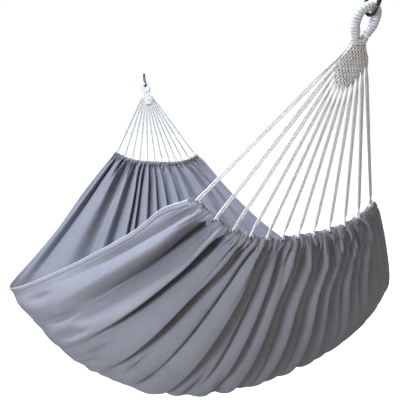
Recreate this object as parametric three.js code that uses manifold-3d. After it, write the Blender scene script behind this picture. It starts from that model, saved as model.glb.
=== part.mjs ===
// Double hammock with gathered ends, as it hangs empty from two hooks.
// Millimetres. X runs from the far hanging point to the near one, Y to the right seen from
// the near end, Z up. The origin is halfway between the two hanging points.

import * as THREE from "three";
import { mergeVertices } from "three/addons/utils/BufferGeometryUtils.js";
import Module from "manifold-3d";

const wasm = await Module();
wasm.setup();

const DEGREE = Math.PI / 180;
const fullTurn = 2 * Math.PI;

// How the hammock hangs
const hangSpan = 1862.5;
const hangToNeck = 45.5;
const neckToFan = 14;
const fanReach = 399;
const fanHalfAngle = 27.9 * DEGREE;

// Each end: how steeply it pulls, and how the hem line departs from a level arc square to that
// pull: its middle dropped, its corners raised, one side lowered, its halves bowed, and bent like an S
const ends = [
  {
    name: "near",
    side: 1,
    rise: 57.7 * DEGREE,
    middleDrop: 1.1 * DEGREE,
    cornerLift: 8 * DEGREE,
    tilt: 3.6 * DEGREE,
    bow: -7.1 * DEGREE,
    bend: 3.9 * DEGREE,
  },
  {
    name: "far",
    side: -1,
    rise: 53.9 * DEGREE,
    middleDrop: -3.6 * DEGREE,
    cornerLift: -0.5 * DEGREE,
    tilt: 3.6 * DEGREE,
    bow: -6.3 * DEGREE,
    bend: 0.2 * DEGREE,
  },
];

// Bed cloth
const clothWidth = 1500;
const clothThickness = 1.2;
const leftReach = 610;
const rightReach = 594;
const leftEdgeDepth = 722;
const rightEdgeDepth = 758;
const bedDepth = 1063;
const sectionOpening = 77.6 * DEGREE;
const edgeFlatness = 2.8;
const spreadPower = 0.883;
const leftLeanShare = 0.587;
const rightLeanShare = 0.073;
const leftSlide = -158;
const foldShare = 0.6;
const hemFoldShare = 0.3;
const foldGrowth = 90;
const columnsPerPleat = 3;
const bedRows = 15;
const rowCrowding = 0.5;

// Cords, their strand and the hem rope that they loop round
const cordCount = 12;
const strandDiameter = 3.5;
const strandGap = 0.7;
const strandSides = 8;
const loopGap = 0.3;
const pairMeetHeight = 36;
const pairTurnLength = 40;
const hemRopeDiameter = 5.6;
const ropeSides = 6;
const ropeOverrun = 5;

// Sleeve sewn along each gathered end, with a slit at each cord
const sleeveWall = 1.5;
const sleeveClearance = 0.7;
const sleeveDepth = 25;
const sleeveEdgeThickness = 2.4;
const sleeveOverrun = 14;
const slitHalfLength = 6.5;
const slitClearance = 0.6;
const seamGap = 0.3;

// Plaited head that gathers the cords
const headHalfWidth = 25;
const headShoulderDrop = 24;
const headLength = 71;
const headTopHalfWidth = 14;
const headThickness = 13;
const headEdgeThickness = 9;
const headEdgeInset = 4;
const pocketDepth = 6;
const pocketClearance = 0.3;

// Eye: a core rope bent into a loop, wound with cord, closed by a collar at the neck
const coreDiameter = 9.7;
const footGap = 1;
const legGap = 0.6;
const coreSides = 8;
const coreSink = 10;
const eyeBend = 15.25;
const eyeWaist = 30;
const windingDiameter = 3.4;
const windingGap = 0.5;
const windingLoops = 14;
const windingSteps = 10;
const windingSides = 5;
const collarHeight = 10;
const collarFootWall = 2.2;
const collarRimWall = 3.6;
const collarGap = 0.5;
const windingTurnIn = 4.5;
const turnInSteps = 3;

// Carabiner through each eye
const stockDiameter = 5.5;
const stockSides = 8;
const carabinerLength = 80;
const carabinerBend = 15;
const bendSteps = 6;
const eyeSeatGap = 0.3;
const hingeRise = 22;
const tongueThickness = 2;
const hingeClearance = 0.3;
const gateFoot = 2.75;
const noseDrop = 4;
const noseGap = 0.4;
const pinDiameter = 2;
const pinClearance = 0.1;
const pinLength = 5.2;
const cutOverrun = 2;

// Values that follow from the ones above
const pleatCount = cordCount - 1;
const strandRadius = strandDiameter / 2;
const hemRopeRadius = hemRopeDiameter / 2;
const strandSpacing = strandDiameter + strandGap;
const loopTurnSteps = 3;
const loopRadius =
  (hemRopeRadius + loopGap + strandRadius) / Math.cos(Math.PI / (2 * loopTurnSteps));
const slitRadius = loopRadius + strandRadius + slitClearance;
const sleeveBoreRadius = hemRopeRadius + sleeveClearance;
const sleeveRadius = sleeveBoreRadius + sleeveWall;
const coreRadius = coreDiameter / 2;
const windingRadius = coreRadius + windingGap + windingDiameter / 2;
const eyeLimbRadius = windingRadius + windingDiameter / 2;
const stockRadius = stockDiameter / 2;
const footSpacing = coreDiameter + footGap;
const legSpacing = 2 * eyeLimbRadius + legGap;
const tongueRise = Math.hypot(stockRadius, gateFoot) + hingeClearance;
const eyeInnerTop = hangToNeck + stockRadius + eyeSeatGap;
const eyeBendCentre = eyeInnerTop + eyeLimbRadius - eyeBend;
const collarBottom = seamGap;
const collarTop = collarBottom + collarHeight;
const hemLength = 2 * fanHalfAngle * fanReach;

const vec = (x, y, z) => new THREE.Vector3(x, y, z);
const WORLD_UP = vec(0, 0, 1);

// A point given by its distances along the axes of a frame
function inFrame(frame, across, up, out) {
  return frame.origin
    .clone()
    .addScaledVector(frame.across, across)
    .addScaledVector(frame.up, up)
    .addScaledVector(frame.out, out);
}

function smoothStep(share) {
  const held = Math.min(Math.max(share, 0), 1);
  return held * held * (3 - 2 * held);
}

// Each end: its hanging point, the point its cords fan from, and the frame of its eye and plaited
// head, which has its origin at the neck between the two
function endFrame(end) {
  const hang = vec((end.side * hangSpan) / 2, 0, 0);
  const up = vec(
    end.side * Math.cos(end.rise),
    0,
    Math.sin(end.rise),
  );
  const across = WORLD_UP.clone().cross(up).multiplyScalar(end.side).normalize();
  const out = across.clone().cross(up).multiplyScalar(end.side).normalize();
  const origin = hang.clone().addScaledVector(up, -hangToNeck);
  const fan = origin.clone().addScaledVector(up, -neckToFan);
  return { fan, origin, up, across, out };
}

for (const end of ends) end.frame = endFrame(end);
const [nearEnd, farEnd] = ends;

// Point of the hem rope's line; place runs from -1 at the left corner to 1 at the right one
function hemPoint(end, place) {
  const sweep = fanHalfAngle * place;
  const drop =
    end.rise +
    end.middleDrop -
    end.cornerLift * place ** 2 +
    end.tilt * place +
    end.bow * (place ** 4 - place ** 2) +
    end.bend * (place ** 3 - place);
  return end.frame.fan
    .clone()
    .add(
      vec(
        -end.side * Math.cos(drop) * Math.cos(sweep),
        Math.sin(sweep),
        -Math.sin(drop) * Math.cos(sweep),
      ).multiplyScalar(fanReach),
    );
}

// Share of its full sag that a hanging line has at a share of its way, flatter when flatness is high
function sagAt(way, flatness) {
  const rim = Math.cosh(flatness);
  return (rim - Math.cosh(flatness * (2 * way - 1))) / (rim - 1);
}

// The smooth cloth without its folds: way runs from 0 at the far hem to 1 at the near hem
function bedPoint(place, way) {
  const left = place < 0;
  const nearHem = hemPoint(nearEnd, place);
  const farHem = hemPoint(farEnd, place);
  const middle = nearHem.clone().add(farHem).multiplyScalar(0.5);
  const edgeDepth = left ? leftEdgeDepth : rightEdgeDepth;
  const rimCosine = Math.cos(sectionOpening);
  const bowl = (Math.cos(sectionOpening * place) - rimCosine) / (1 - rimCosine);
  const target = vec(
    middle.x,
    ((left ? leftReach : rightReach) * Math.sin(sectionOpening * place)) /
      Math.sin(sectionOpening),
    -(edgeDepth + (bedDepth - edgeDepth) * bowl),
  );
  const edgeness = place ** 2;
  const middleSag = 4 * way * (1 - way);
  const sag = middleSag * (1 - edgeness) + sagAt(way, edgeFlatness) * edgeness;
  const spread = Math.max(middleSag, 0) ** spreadPower;
  const leanShare = left ? leftLeanShare : rightLeanShare;
  const lean = 1 + leanShare * edgeness * (1 - 2 * way);
  const point = farHem.clone().lerp(nearHem, way);
  point.x += (left ? leftSlide : 0) * edgeness * sag;
  point.y += (target.y - middle.y) * spread * lean;
  point.z += (target.z - middle.z) * sag * lean;
  return point;
}

// Directions on the cloth at a place: into the bed from an end, along the hem, and outward
const probeShare = 1e-4;
function clothDirections(place, way, towards) {
  const here = bedPoint(place, way);
  const inward = bedPoint(place, way + towards * probeShare).sub(here).normalize();
  const along = bedPoint(place + probeShare, way)
    .sub(bedPoint(place - probeShare, way))
    .normalize();
  const outward = along.clone().cross(inward).multiplyScalar(towards).normalize();
  return { here, inward, along, outward };
}

// Width of the smooth cloth at a way along it, which says how much of the cloth lies in folds
const widthSamples = 44;
function smoothWidth(way) {
  let width = 0;
  let last = bedPoint(-1, way);
  for (let i = 1; i <= widthSamples; i++) {
    const next = bedPoint((2 * i) / widthSamples - 1, way);
    width += next.distanceTo(last);
    last = next;
  }
  return width;
}

function pleatDepth(way, hemDistance) {
  const width = smoothWidth(way);
  const spare = Math.max(clothWidth / width - 1, 0);
  const depth = ((2 * width) / pleatCount / Math.PI) * Math.sqrt(spare) * foldShare;
  return depth * (hemFoldShare + (1 - hemFoldShare) * smoothStep(hemDistance / foldGrowth));
}

// A closed mesh from a grid of points on its outer face and one on its inner face
function closedSheet(outer, inner) {
  const rows = outer.length;
  const columns = outer[0].length;
  const count = rows * columns;
  const points = [...outer.flat(), ...inner.flat()];
  const at = (row, column, side) => side * count + row * columns + column;
  const faces = [];
  const quad = (a, b, c, d) => faces.push(a, b, c, a, c, d);
  for (let r = 0; r + 1 < rows; r++)
    for (let c = 0; c + 1 < columns; c++) {
      quad(at(r, c, 0), at(r, c + 1, 0), at(r + 1, c + 1, 0), at(r + 1, c, 0));
      quad(at(r, c, 1), at(r + 1, c, 1), at(r + 1, c + 1, 1), at(r, c + 1, 1));
    }
  for (let r = 0; r + 1 < rows; r++) {
    const last = columns - 1;
    quad(at(r, 0, 0), at(r + 1, 0, 0), at(r + 1, 0, 1), at(r, 0, 1));
    quad(at(r, last, 0), at(r, last, 1), at(r + 1, last, 1), at(r + 1, last, 0));
  }
  for (let c = 0; c + 1 < columns; c++) {
    const last = rows - 1;
    quad(at(0, c, 0), at(0, c, 1), at(0, c + 1, 1), at(0, c + 1, 0));
    quad(at(last, c, 0), at(last, c + 1, 0), at(last, c + 1, 1), at(last, c, 1));
  }
  return meshGeometry(points, faces);
}

// A closed mesh through rings of points, each ring running the same way round
function loft(rings) {
  const sides = rings[0].length;
  const points = rings.flat();
  const faces = [];
  for (let r = 0; r + 1 < rings.length; r++)
    for (let k = 0; k < sides; k++) {
      const a = r * sides + k;
      const b = r * sides + ((k + 1) % sides);
      faces.push(a, b, b + sides, a, b + sides, a + sides);
    }
  const lastRing = (rings.length - 1) * sides;
  for (let k = 1; k + 1 < sides; k++) {
    faces.push(0, k + 1, k);
    faces.push(lastRing, lastRing + k, lastRing + k + 1);
  }
  return meshGeometry(points, faces);
}

function meshGeometry(points, faces) {
  return new THREE.BufferGeometry().setFromPoints(points).setIndex(faces);
}

// Turns a geometry into a solid, the right way out, and a solid back into a geometry
const weldDistance = 1e-4;
function toSolid(geometry) {
  const bare = geometry.clone();
  bare.deleteAttribute("normal");
  bare.deleteAttribute("uv");
  const merged = mergeVertices(bare, weldDistance);
  const build = (triVerts) =>
    new wasm.Manifold(
      new wasm.Mesh({ numProp: 3, vertProperties: merged.attributes.position.array, triVerts }),
    );
  const triVerts = new Uint32Array(merged.index.array);
  const solid = build(triVerts);
  if (solid.volume() > 0) return solid;
  for (let i = 0; i < triVerts.length; i += 3)
    [triVerts[i + 1], triVerts[i + 2]] = [triVerts[i + 2], triVerts[i + 1]];
  return build(triVerts);
}

function toGeometry(solid) {
  const { vertProperties, triVerts } = solid.getMesh();
  return new THREE.BufferGeometry()
    .setAttribute("position", new THREE.BufferAttribute(vertProperties, 3))
    .setIndex(new THREE.BufferAttribute(triVerts, 1));
}

// A route that a section follows, with one step from each chosen point to the next
class Route extends THREE.Curve {
  constructor(points) {
    super();
    this.points = points;
  }
  getPoint(share, target = vec(0, 0, 0)) {
    const last = this.points.length - 1;
    const place = Math.min(Math.max(share, 0), 1) * last;
    const i = Math.min(Math.floor(place), last - 1);
    return target.lerpVectors(this.points[i], this.points[i + 1], place - i);
  }
  getTangent(share, target = vec(0, 0, 0)) {
    const last = this.points.length - 1;
    const i = Math.round(share * last);
    const before = this.points[Math.max(i - 1, 0)];
    const here = this.points[i];
    const after = this.points[Math.min(i + 1, last)];
    const arriving = here.clone().sub(before).normalize();
    const leaving = after.clone().sub(here).normalize();
    return target.copy(arriving).add(leaving).normalize();
  }
  getPointAt(share, target) {
    return this.getPoint(share, target);
  }
  getTangentAt(share, target) {
    return this.getTangent(share, target);
  }
}

function roundShape(radius, sides) {
  const corners = [];
  for (let k = 0; k < sides; k++) {
    const angle = (fullTurn * k) / sides;
    corners.push(new THREE.Vector2(radius * Math.cos(angle), radius * Math.sin(angle)));
  }
  return new THREE.Shape(corners);
}

function tubeAlong(points, radius, sides) {
  return new THREE.ExtrudeGeometry(roundShape(radius, sides), {
    steps: points.length - 1,
    extrudePath: new Route(points),
  });
}

// A box between two points, with its width along a given side direction
function slotBetween(start, finish, widthDirection, width, thickness) {
  const along = finish.clone().sub(start);
  const box = new THREE.BoxGeometry(width, along.length(), thickness);
  const upAxis = along.clone().normalize();
  const depthAxis = widthDirection.clone().cross(upAxis).normalize();
  const widthAxis = upAxis.clone().cross(depthAxis);
  const turn = new THREE.Matrix4().makeBasis(widthAxis, upAxis, depthAxis);
  turn.setPosition(start.clone().lerp(finish, 0.5));
  return box.applyMatrix4(turn);
}

// A rod between two points
function rodBetween(start, finish, radius, sides) {
  return tubeAlong([start, finish], radius, sides);
}

const hammock = new THREE.Group();

const finishes = {
  cloth: { color: 0x6f7180, roughness: 0.9, metalness: 0 },
  cotton: { color: 0xeceae4, roughness: 0.85, metalness: 0 },
  blackSteel: { color: 0x16171a, roughness: 0.4, metalness: 0.6 },
  brightSteel: { color: 0xb8bcc0, roughness: 0.3, metalness: 1 },
};

function addPiece(name, geometry, finish) {
  const mesh = new THREE.Mesh(geometry, new THREE.MeshStandardMaterial(finishes[finish]));
  mesh.name = name;
  hammock.add(mesh);
}

// Bed: rows run across the cloth, closer together near the hems, and columns follow the pleats
function makeBed() {
  const columns = pleatCount * columnsPerPleat;
  const outer = [];
  const inner = [];
  for (let r = 0; r <= bedRows; r++) {
    const even = r / bedRows;
    const share = even - (rowCrowding * Math.sin(fullTurn * even)) / fullTurn;
    outer.push([]);
    inner.push([]);
    for (let c = 0; c <= columns; c++) {
      const place = (2 * c) / columns - 1;
      const start = bedStart(farEnd, place);
      const finish = bedStart(nearEnd, place);
      const way = start + (finish - start) * share;
      const { here, outward } = clothDirections(place, way, way < 0.5 ? 1 : -1);
      const rowLength = smoothLength(place);
      const hemDistance = rowLength * Math.min(share, 1 - share);
      const ridge = Math.sin((Math.PI * (c % columnsPerPleat)) / columnsPerPleat) ** 2;
      const lift = pleatDepth(way, hemDistance) * ridge;
      outer[r].push(here.clone().addScaledVector(outward, lift + clothThickness / 2));
      inner[r].push(here.clone().addScaledVector(outward, lift - clothThickness / 2));
    }
  }
  return closedSheet(outer, inner);
}

const lengthSamples = 40;
function smoothLength(place) {
  let length = 0;
  let last = bedPoint(place, 0);
  for (let i = 1; i <= lengthSamples; i++) {
    const next = bedPoint(place, i / lengthSamples);
    length += next.distanceTo(last);
    last = next;
  }
  return length;
}

// Share of the way at which the bed starts, where it is one sleeve's depth from the hem line
const searchSteps = 30;
function bedStart(end, place) {
  const hem = hemPoint(end, place);
  let low = 0;
  let high = 0.5;
  for (let i = 0; i < searchSteps; i++) {
    const middle = (low + high) / 2;
    const way = end.side > 0 ? 1 - middle : middle;
    if (bedPoint(place, way).distanceTo(hem) < sleeveDepth + seamGap) low = middle;
    else high = middle;
  }
  return end.side > 0 ? 1 - low : low;
}

// Places along the hem where the sleeve and its rope have a section: at each cord, and past the corners
const cordPlaces = Array.from({ length: cordCount }, (_, i) => (2 * i) / (cordCount - 1) - 1);
const placeOver = (distance) => (2 * distance) / hemLength;
function hemPlaces(overrun) {
  const past = 1 + placeOver(overrun);
  return [-past, ...cordPlaces, past];
}

// Directions at a place on the hem: along it, out of the cloth, into the bed, and square to the hem
function hemFrame(end, place) {
  const origin = hemPoint(end, place);
  const inward = bedPoint(place, bedStart(end, place)).sub(origin).normalize();
  const along = hemPoint(end, place + probeShare)
    .sub(hemPoint(end, place - probeShare))
    .normalize();
  const outward = along.clone().cross(inward).multiplyScalar(-end.side).normalize();
  const square = outward.clone().cross(along).normalize();
  if (square.dot(inward) < 0) square.negate();
  return { origin, inward, along, outward, square };
}

// Ring of section points round the hem line: how far square to it, how far into the bed, how far out
function sectionRing(end, place, section) {
  const frame = hemFrame(end, place);
  return section.map(([squarely, inwards, outwards]) =>
    frame.origin
      .clone()
      .addScaledVector(frame.square, squarely)
      .addScaledVector(frame.inward, inwards)
      .addScaledVector(frame.outward, outwards),
  );
}

function circleSection(radius, sides) {
  return Array.from({ length: sides }, (_, k) => {
    const angle = (fullTurn * k) / sides;
    return [radius * Math.cos(angle), 0, radius * Math.sin(angle)];
  });
}

function sleeveSection() {
  const bow = [];
  const bowSteps = 4;
  for (let k = 0; k <= bowSteps; k++) {
    const angle = Math.PI / 2 + (Math.PI * k) / bowSteps;
    bow.push([sleeveRadius * Math.cos(angle), 0, sleeveRadius * Math.sin(angle)]);
  }
  const halfEdge = sleeveEdgeThickness / 2;
  return [...bow, [0, sleeveDepth, -halfEdge], [0, sleeveDepth, halfEdge]];
}

function makeSleeve(end) {
  const outside = loft(
    hemPlaces(sleeveOverrun).map((place) => sectionRing(end, place, sleeveSection())),
  );
  const bore = loft(
    hemPlaces(sleeveOverrun + cutOverrun).map((place) =>
      sectionRing(end, place, circleSection(sleeveBoreRadius, ropeSides)),
    ),
  );
  let sleeve = toSolid(outside).subtract(toSolid(bore));
  for (const place of cordPlaces) {
    const frame = hemFrame(end, place);
    const start = frame.origin.clone().addScaledVector(frame.along, -slitHalfLength);
    const finish = frame.origin.clone().addScaledVector(frame.along, slitHalfLength);
    const slit = slotBetween(start, finish, frame.square, 2 * slitRadius, 2 * slitRadius);
    sleeve = sleeve.subtract(toSolid(slit));
  }
  return toGeometry(sleeve);
}

function makeHemRope(end) {
  const points = hemPlaces(sleeveOverrun + ropeOverrun).map((place) => hemPoint(end, place));
  return tubeAlong(points, hemRopeRadius, ropeSides);
}

// Where a cord leaves the head, on its lower outline
function headExit(end, place) {
  const sweep = (Math.PI / 2) * place;
  const down = headShoulderDrop + (headLength - headShoulderDrop) * Math.cos(sweep);
  return inFrame(end.frame, headHalfWidth * Math.sin(sweep), -down, 0);
}

// One doubled cord: down one strand, round the hem rope through the slit, and back up
function cordRoute(end, place) {
  const hem = hemFrame(end, place);
  const exit = headExit(end, place);
  const rising = exit.clone().sub(hem.origin).normalize();
  const beside = hem.along.clone().addScaledVector(rising, -hem.along.dot(rising)).normalize();
  const outward = rising.clone().cross(beside).normalize();
  if (outward.dot(hem.outward) < 0) outward.negate();
  const half = strandSpacing / 2;
  const at = (up, out, side) =>
    hem.origin
      .clone()
      .addScaledVector(rising, up)
      .addScaledVector(outward, out)
      .addScaledVector(beside, side);
  const reach = exit.distanceTo(hem.origin);
  const points = [
    at(reach + pocketDepth, half, 0),
    at(reach, half, 0),
    at(reach - pairTurnLength, 0, -half),
    at(pairMeetHeight, 0, -half),
  ];
  for (let k = 0; k <= loopTurnSteps; k++) {
    const angle = (Math.PI * k) / loopTurnSteps;
    const side = half * ((2 * k) / loopTurnSteps - 1);
    points.push(at(-loopRadius * Math.sin(angle), loopRadius * Math.cos(angle), side));
  }
  points.push(
    at(pairMeetHeight, 0, half),
    at(reach - pairTurnLength, 0, half),
    at(reach, -half, 0),
    at(reach + pocketDepth, -half, 0),
  );
  return { points, exit, rising, beside };
}

function headOutline() {
  const arcSteps = 12;
  const points = [];
  for (let k = 0; k <= arcSteps; k++) {
    const sweep = -Math.PI / 2 + (Math.PI * k) / arcSteps;
    points.push(
      new THREE.Vector2(
        headHalfWidth * Math.sin(sweep),
        -headShoulderDrop - (headLength - headShoulderDrop) * Math.cos(sweep),
      ),
    );
  }
  points.push(new THREE.Vector2(headTopHalfWidth, 0), new THREE.Vector2(-headTopHalfWidth, 0));
  return new THREE.Shape(points);
}

function placeInFrame(geometry, frame) {
  const basis = new THREE.Matrix4().makeBasis(
    frame.across,
    frame.up,
    frame.across.clone().cross(frame.up),
  );
  return geometry.applyMatrix4(basis.setPosition(frame.origin));
}

// An oval outline round two rods that stand side by side, at a height along the pull line
const ovalSteps = 6;
function ovalRing(frame, legAcross, margin, up) {
  const facing = frame.across.clone().cross(frame.up);
  const radius = coreRadius + margin;
  const points = [];
  for (const side of [1, -1])
    for (let k = 0; k <= ovalSteps; k++) {
      const angle = -Math.PI / 2 + (Math.PI * k) / ovalSteps + (side < 0 ? Math.PI : 0);
      points.push(
        inFrame(frame, side * legAcross + radius * Math.cos(angle), up, 0).addScaledVector(
          facing,
          radius * Math.sin(angle),
        ),
      );
    }
  return points;
}

function makeHead(end) {
  const bevel = (headThickness - headEdgeThickness) / 2;
  const body = new THREE.ExtrudeGeometry(headOutline(), {
    depth: headEdgeThickness,
    bevelThickness: bevel,
    bevelSize: headEdgeInset,
    bevelOffset: -headEdgeInset,
    bevelSegments: 1,
  });
  body.translate(0, 0, -headEdgeThickness / 2);
  let head = toSolid(placeInFrame(body, end.frame));
  const pocketWidth = strandDiameter + 2 * pocketClearance;
  const pocketThickness = strandSpacing + strandDiameter + 2 * pocketClearance;
  for (const place of cordPlaces) {
    const { exit, rising, beside } = cordRoute(end, place);
    const start = exit.clone().addScaledVector(rising, -headThickness);
    const finish = exit.clone().addScaledVector(rising, pocketDepth + pocketClearance);
    head = head.subtract(
      toSolid(slotBetween(start, finish, beside, pocketWidth, pocketThickness)),
    );
  }
  const pocketHeights = [-coreSink - pocketClearance, cutOverrun];
  const legsPocket = loft(
    pocketHeights.map((up) => ovalRing(end.frame, footSpacing / 2, pocketClearance, up)),
  );
  return toGeometry(head.subtract(toSolid(legsPocket)));
}

// Centre line of one half of the eye, from the head up its right leg to the top
const waistSteps = 4;
const eyeBendSteps = 5;
function eyeHalf() {
  const leg = legSpacing / 2;
  const straightTo = collarTop + collarGap + windingDiameter;
  const points = [
    [footSpacing / 2, -coreSink],
    [footSpacing / 2, collarBottom],
    [leg, collarTop],
    [leg, straightTo],
  ];
  for (let k = 1; k <= waistSteps; k++) {
    const share = k / waistSteps;
    const up = straightTo + (eyeWaist - straightTo) * share;
    points.push([leg + (eyeBend - leg) * smoothStep(share), up]);
  }
  for (let k = 0; k <= eyeBendSteps; k++) {
    const angle = ((Math.PI / 2) * k) / eyeBendSteps;
    points.push([eyeBend * Math.cos(angle), eyeBendCentre + eyeBend * Math.sin(angle)]);
  }
  return points;
}

function eyeCentreLine(end) {
  const right = eyeHalf();
  const left = right
    .slice(0, -1)
    .reverse()
    .map(([across, up]) => [-across, up]);
  return [...right, ...left].map(([across, up]) => inFrame(end.frame, across, up, 0));
}

function makeEyeCore(end) {
  return tubeAlong(eyeCentreLine(end), coreRadius, coreSides);
}

// The part of the eye's centre line above the collar, as a smooth curve
function windingSpine(end) {
  const heightOf = (point) => point.clone().sub(end.frame.origin).dot(end.frame.up);
  const raised = eyeCentreLine(end).filter((point) => heightOf(point) > collarTop + windingDiameter);
  const foot = (side) => inFrame(end.frame, (side * legSpacing) / 2, collarTop + collarGap, 0);
  return new THREE.CatmullRomCurve3([foot(1), ...raised, foot(-1)], false, "centripetal");
}

// The winding laid out flat: each point is how far round the core and how far along it. It leaves
// the collar upright, turns in, circles the core at an even pitch, and comes down the same way.
function flatWinding(length) {
  const around = fullTurn * windingLoops * windingRadius;
  const rise = length - 2 * (windingDiameter + windingTurnIn);
  const turn = Math.atan2(around - 2 * windingTurnIn, rise);
  const start = [[0, 0], [0, windingDiameter]];
  for (let k = 1; k <= turnInSteps; k++) {
    const angle = (turn * k) / turnInSteps;
    start.push([
      windingTurnIn * (1 - Math.cos(angle)),
      windingDiameter + windingTurnIn * Math.sin(angle),
    ]);
  }
  const finish = start.map(([round, along]) => [around - round, length - along]).reverse();
  const [fromRound, fromAlong] = start.at(-1);
  const [toRound, toAlong] = finish[0];
  const steps = Math.round(((toRound - fromRound) / around) * windingLoops * windingSteps);
  const middle = [];
  for (let k = 1; k < steps; k++) {
    const share = k / steps;
    middle.push([
      fromRound + (toRound - fromRound) * share,
      fromAlong + (toAlong - fromAlong) * share,
    ]);
  }
  return [...start, ...middle, ...finish];
}

// The winding as one unbroken route, starting and ending on the outer sides of the two legs
function windingRoute(end) {
  const spine = windingSpine(end);
  const length = spine.getLength();
  const facing = end.frame.across.clone().cross(end.frame.up);
  return flatWinding(length).map(([round, along]) => {
    const share = Math.min(Math.max(along / length, 0), 1);
    const forward = spine.getTangentAt(share);
    const sideways = forward.clone().cross(facing).normalize();
    const angle = round / windingRadius;
    return spine
      .getPointAt(share)
      .addScaledVector(sideways, windingRadius * Math.cos(angle))
      .addScaledVector(facing, windingRadius * Math.sin(angle));
  });
}

// Least clear gap between stretches of the winding that are more than half a loop apart
function leastGap(points) {
  const dense = [];
  const perStep = 3;
  for (let i = 0; i + 1 < points.length; i++)
    for (let k = 0; k < perStep; k++) dense.push(points[i].clone().lerp(points[i + 1], k / perStep));
  const apart = Math.round((perStep * windingSteps) / 2);
  let least = Infinity;
  for (let i = 0; i < dense.length; i++)
    for (let j = i + apart; j < dense.length; j++)
      least = Math.min(least, dense[i].distanceTo(dense[j]));
  return least - windingDiameter;
}

function makeWinding(end) {
  const points = windingRoute(end);
  console.log(end.name + " eye winding: least gap to itself " + leastGap(points).toFixed(2) + " mm");
  return tubeAlong(points, windingDiameter / 2, windingSides);
}

// Collar: flares with the two legs that it holds, from the head up to the winding
function makeCollar(end) {
  const splay = (legSpacing - footSpacing) / 2 / collarHeight;
  const legAt = (up) => footSpacing / 2 + splay * (up - collarBottom);
  const outside = loft([
    ovalRing(end.frame, legAt(collarBottom), collarGap + collarFootWall, collarBottom),
    ovalRing(end.frame, legAt(collarTop), collarGap + collarRimWall, collarTop),
  ]);
  const holeHeights = [collarBottom - cutOverrun, collarTop + cutOverrun];
  const hole = loft(holeHeights.map((up) => ovalRing(end.frame, legAt(up), collarGap, up)));
  return toGeometry(toSolid(outside).subtract(toSolid(hole)));
}

// Carabiner: its plane holds the pull line and stands square to the eye
function carabinerPoint(end, out, up) {
  return inFrame(end.frame, 0, hangToNeck + up, out);
}

const straightBottom = carabinerBend;
const straightTop = carabinerLength - stockDiameter - carabinerBend;
const hingeUp = hingeRise;
const noseUp = straightTop - noseDrop;

function carabinerRoute(end) {
  const points = [carabinerPoint(end, carabinerBend, hingeUp - tongueRise)];
  for (let k = 0; k <= bendSteps; k++) {
    const angle = (Math.PI * k) / bendSteps;
    points.push(
      carabinerPoint(
        end,
        carabinerBend * Math.cos(angle),
        straightBottom - carabinerBend * Math.sin(angle),
      ),
    );
  }
  for (let k = 0; k <= bendSteps; k++) {
    const angle = (Math.PI * k) / bendSteps;
    points.push(
      carabinerPoint(
        end,
        -carabinerBend * Math.cos(angle),
        straightTop + carabinerBend * Math.sin(angle),
      ),
    );
  }
  points.push(carabinerPoint(end, carabinerBend, noseUp + noseGap));
  return points;
}

// A rod through the hinge, square to the carabiner's plane
function hingeRod(end, length, radius) {
  const centre = carabinerPoint(end, carabinerBend, hingeUp);
  const start = centre.clone().addScaledVector(end.frame.across, -length / 2);
  const finish = centre.clone().addScaledVector(end.frame.across, length / 2);
  return rodBetween(start, finish, radius, stockSides);
}

function makeCarabiner(end) {
  const frame = toSolid(tubeAlong(carabinerRoute(end), stockRadius, stockSides));
  const tongue = toSolid(
    slotBetween(
      carabinerPoint(end, carabinerBend, hingeUp - tongueRise - cutOverrun),
      carabinerPoint(end, carabinerBend, hingeUp + stockRadius - hingeClearance),
      end.frame.across,
      tongueThickness,
      stockDiameter - tongueThickness,
    ),
  );
  const hole = toSolid(hingeRod(end, stockDiameter, pinDiameter / 2 + pinClearance));
  return toGeometry(frame.add(tongue).subtract(hole));
}

function makeGate(end) {
  const bottom = hingeUp - gateFoot;
  const rod = toSolid(
    rodBetween(
      carabinerPoint(end, carabinerBend, bottom),
      carabinerPoint(end, carabinerBend, noseUp),
      stockRadius,
      stockSides,
    ),
  );
  const slot = toSolid(
    slotBetween(
      carabinerPoint(end, carabinerBend, bottom - cutOverrun),
      carabinerPoint(end, carabinerBend, hingeUp + stockRadius + cutOverrun),
      end.frame.across,
      tongueThickness + 2 * hingeClearance,
      stockDiameter + 2 * cutOverrun,
    ),
  );
  const hole = toSolid(hingeRod(end, stockDiameter + cutOverrun, pinDiameter / 2 + pinClearance));
  return toGeometry(rod.subtract(slot).subtract(hole));
}

addPiece("bed", makeBed(), "cloth");
for (const end of ends) {
  addPiece(end.name + "_sleeve", makeSleeve(end), "cloth");
  addPiece(end.name + "_hem_rope", makeHemRope(end), "cotton");
  cordPlaces.forEach((place, i) => {
    const cord = tubeAlong(cordRoute(end, place).points, strandRadius, strandSides);
    addPiece(end.name + "_cord_" + String(i + 1).padStart(2, "0"), cord, "cotton");
  });
  addPiece(end.name + "_plaited_head", makeHead(end), "cotton");
  addPiece(end.name + "_eye_core", makeEyeCore(end), "cotton");
  addPiece(end.name + "_eye_winding", makeWinding(end), "cotton");
  addPiece(end.name + "_neck_collar", makeCollar(end), "cotton");
  addPiece(end.name + "_carabiner", makeCarabiner(end), "blackSteel");
  addPiece(end.name + "_gate", makeGate(end), "blackSteel");
  addPiece(end.name + "_gate_pin", hingeRod(end, pinLength, pinDiameter / 2), "brightSteel");
}

export default hammock;
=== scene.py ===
"""Looks of a double hammock that hangs empty, in metres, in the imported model's frame."""
import math

import bmesh
import bpy
import numpy as np
from mathutils import Matrix, Vector


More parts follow.
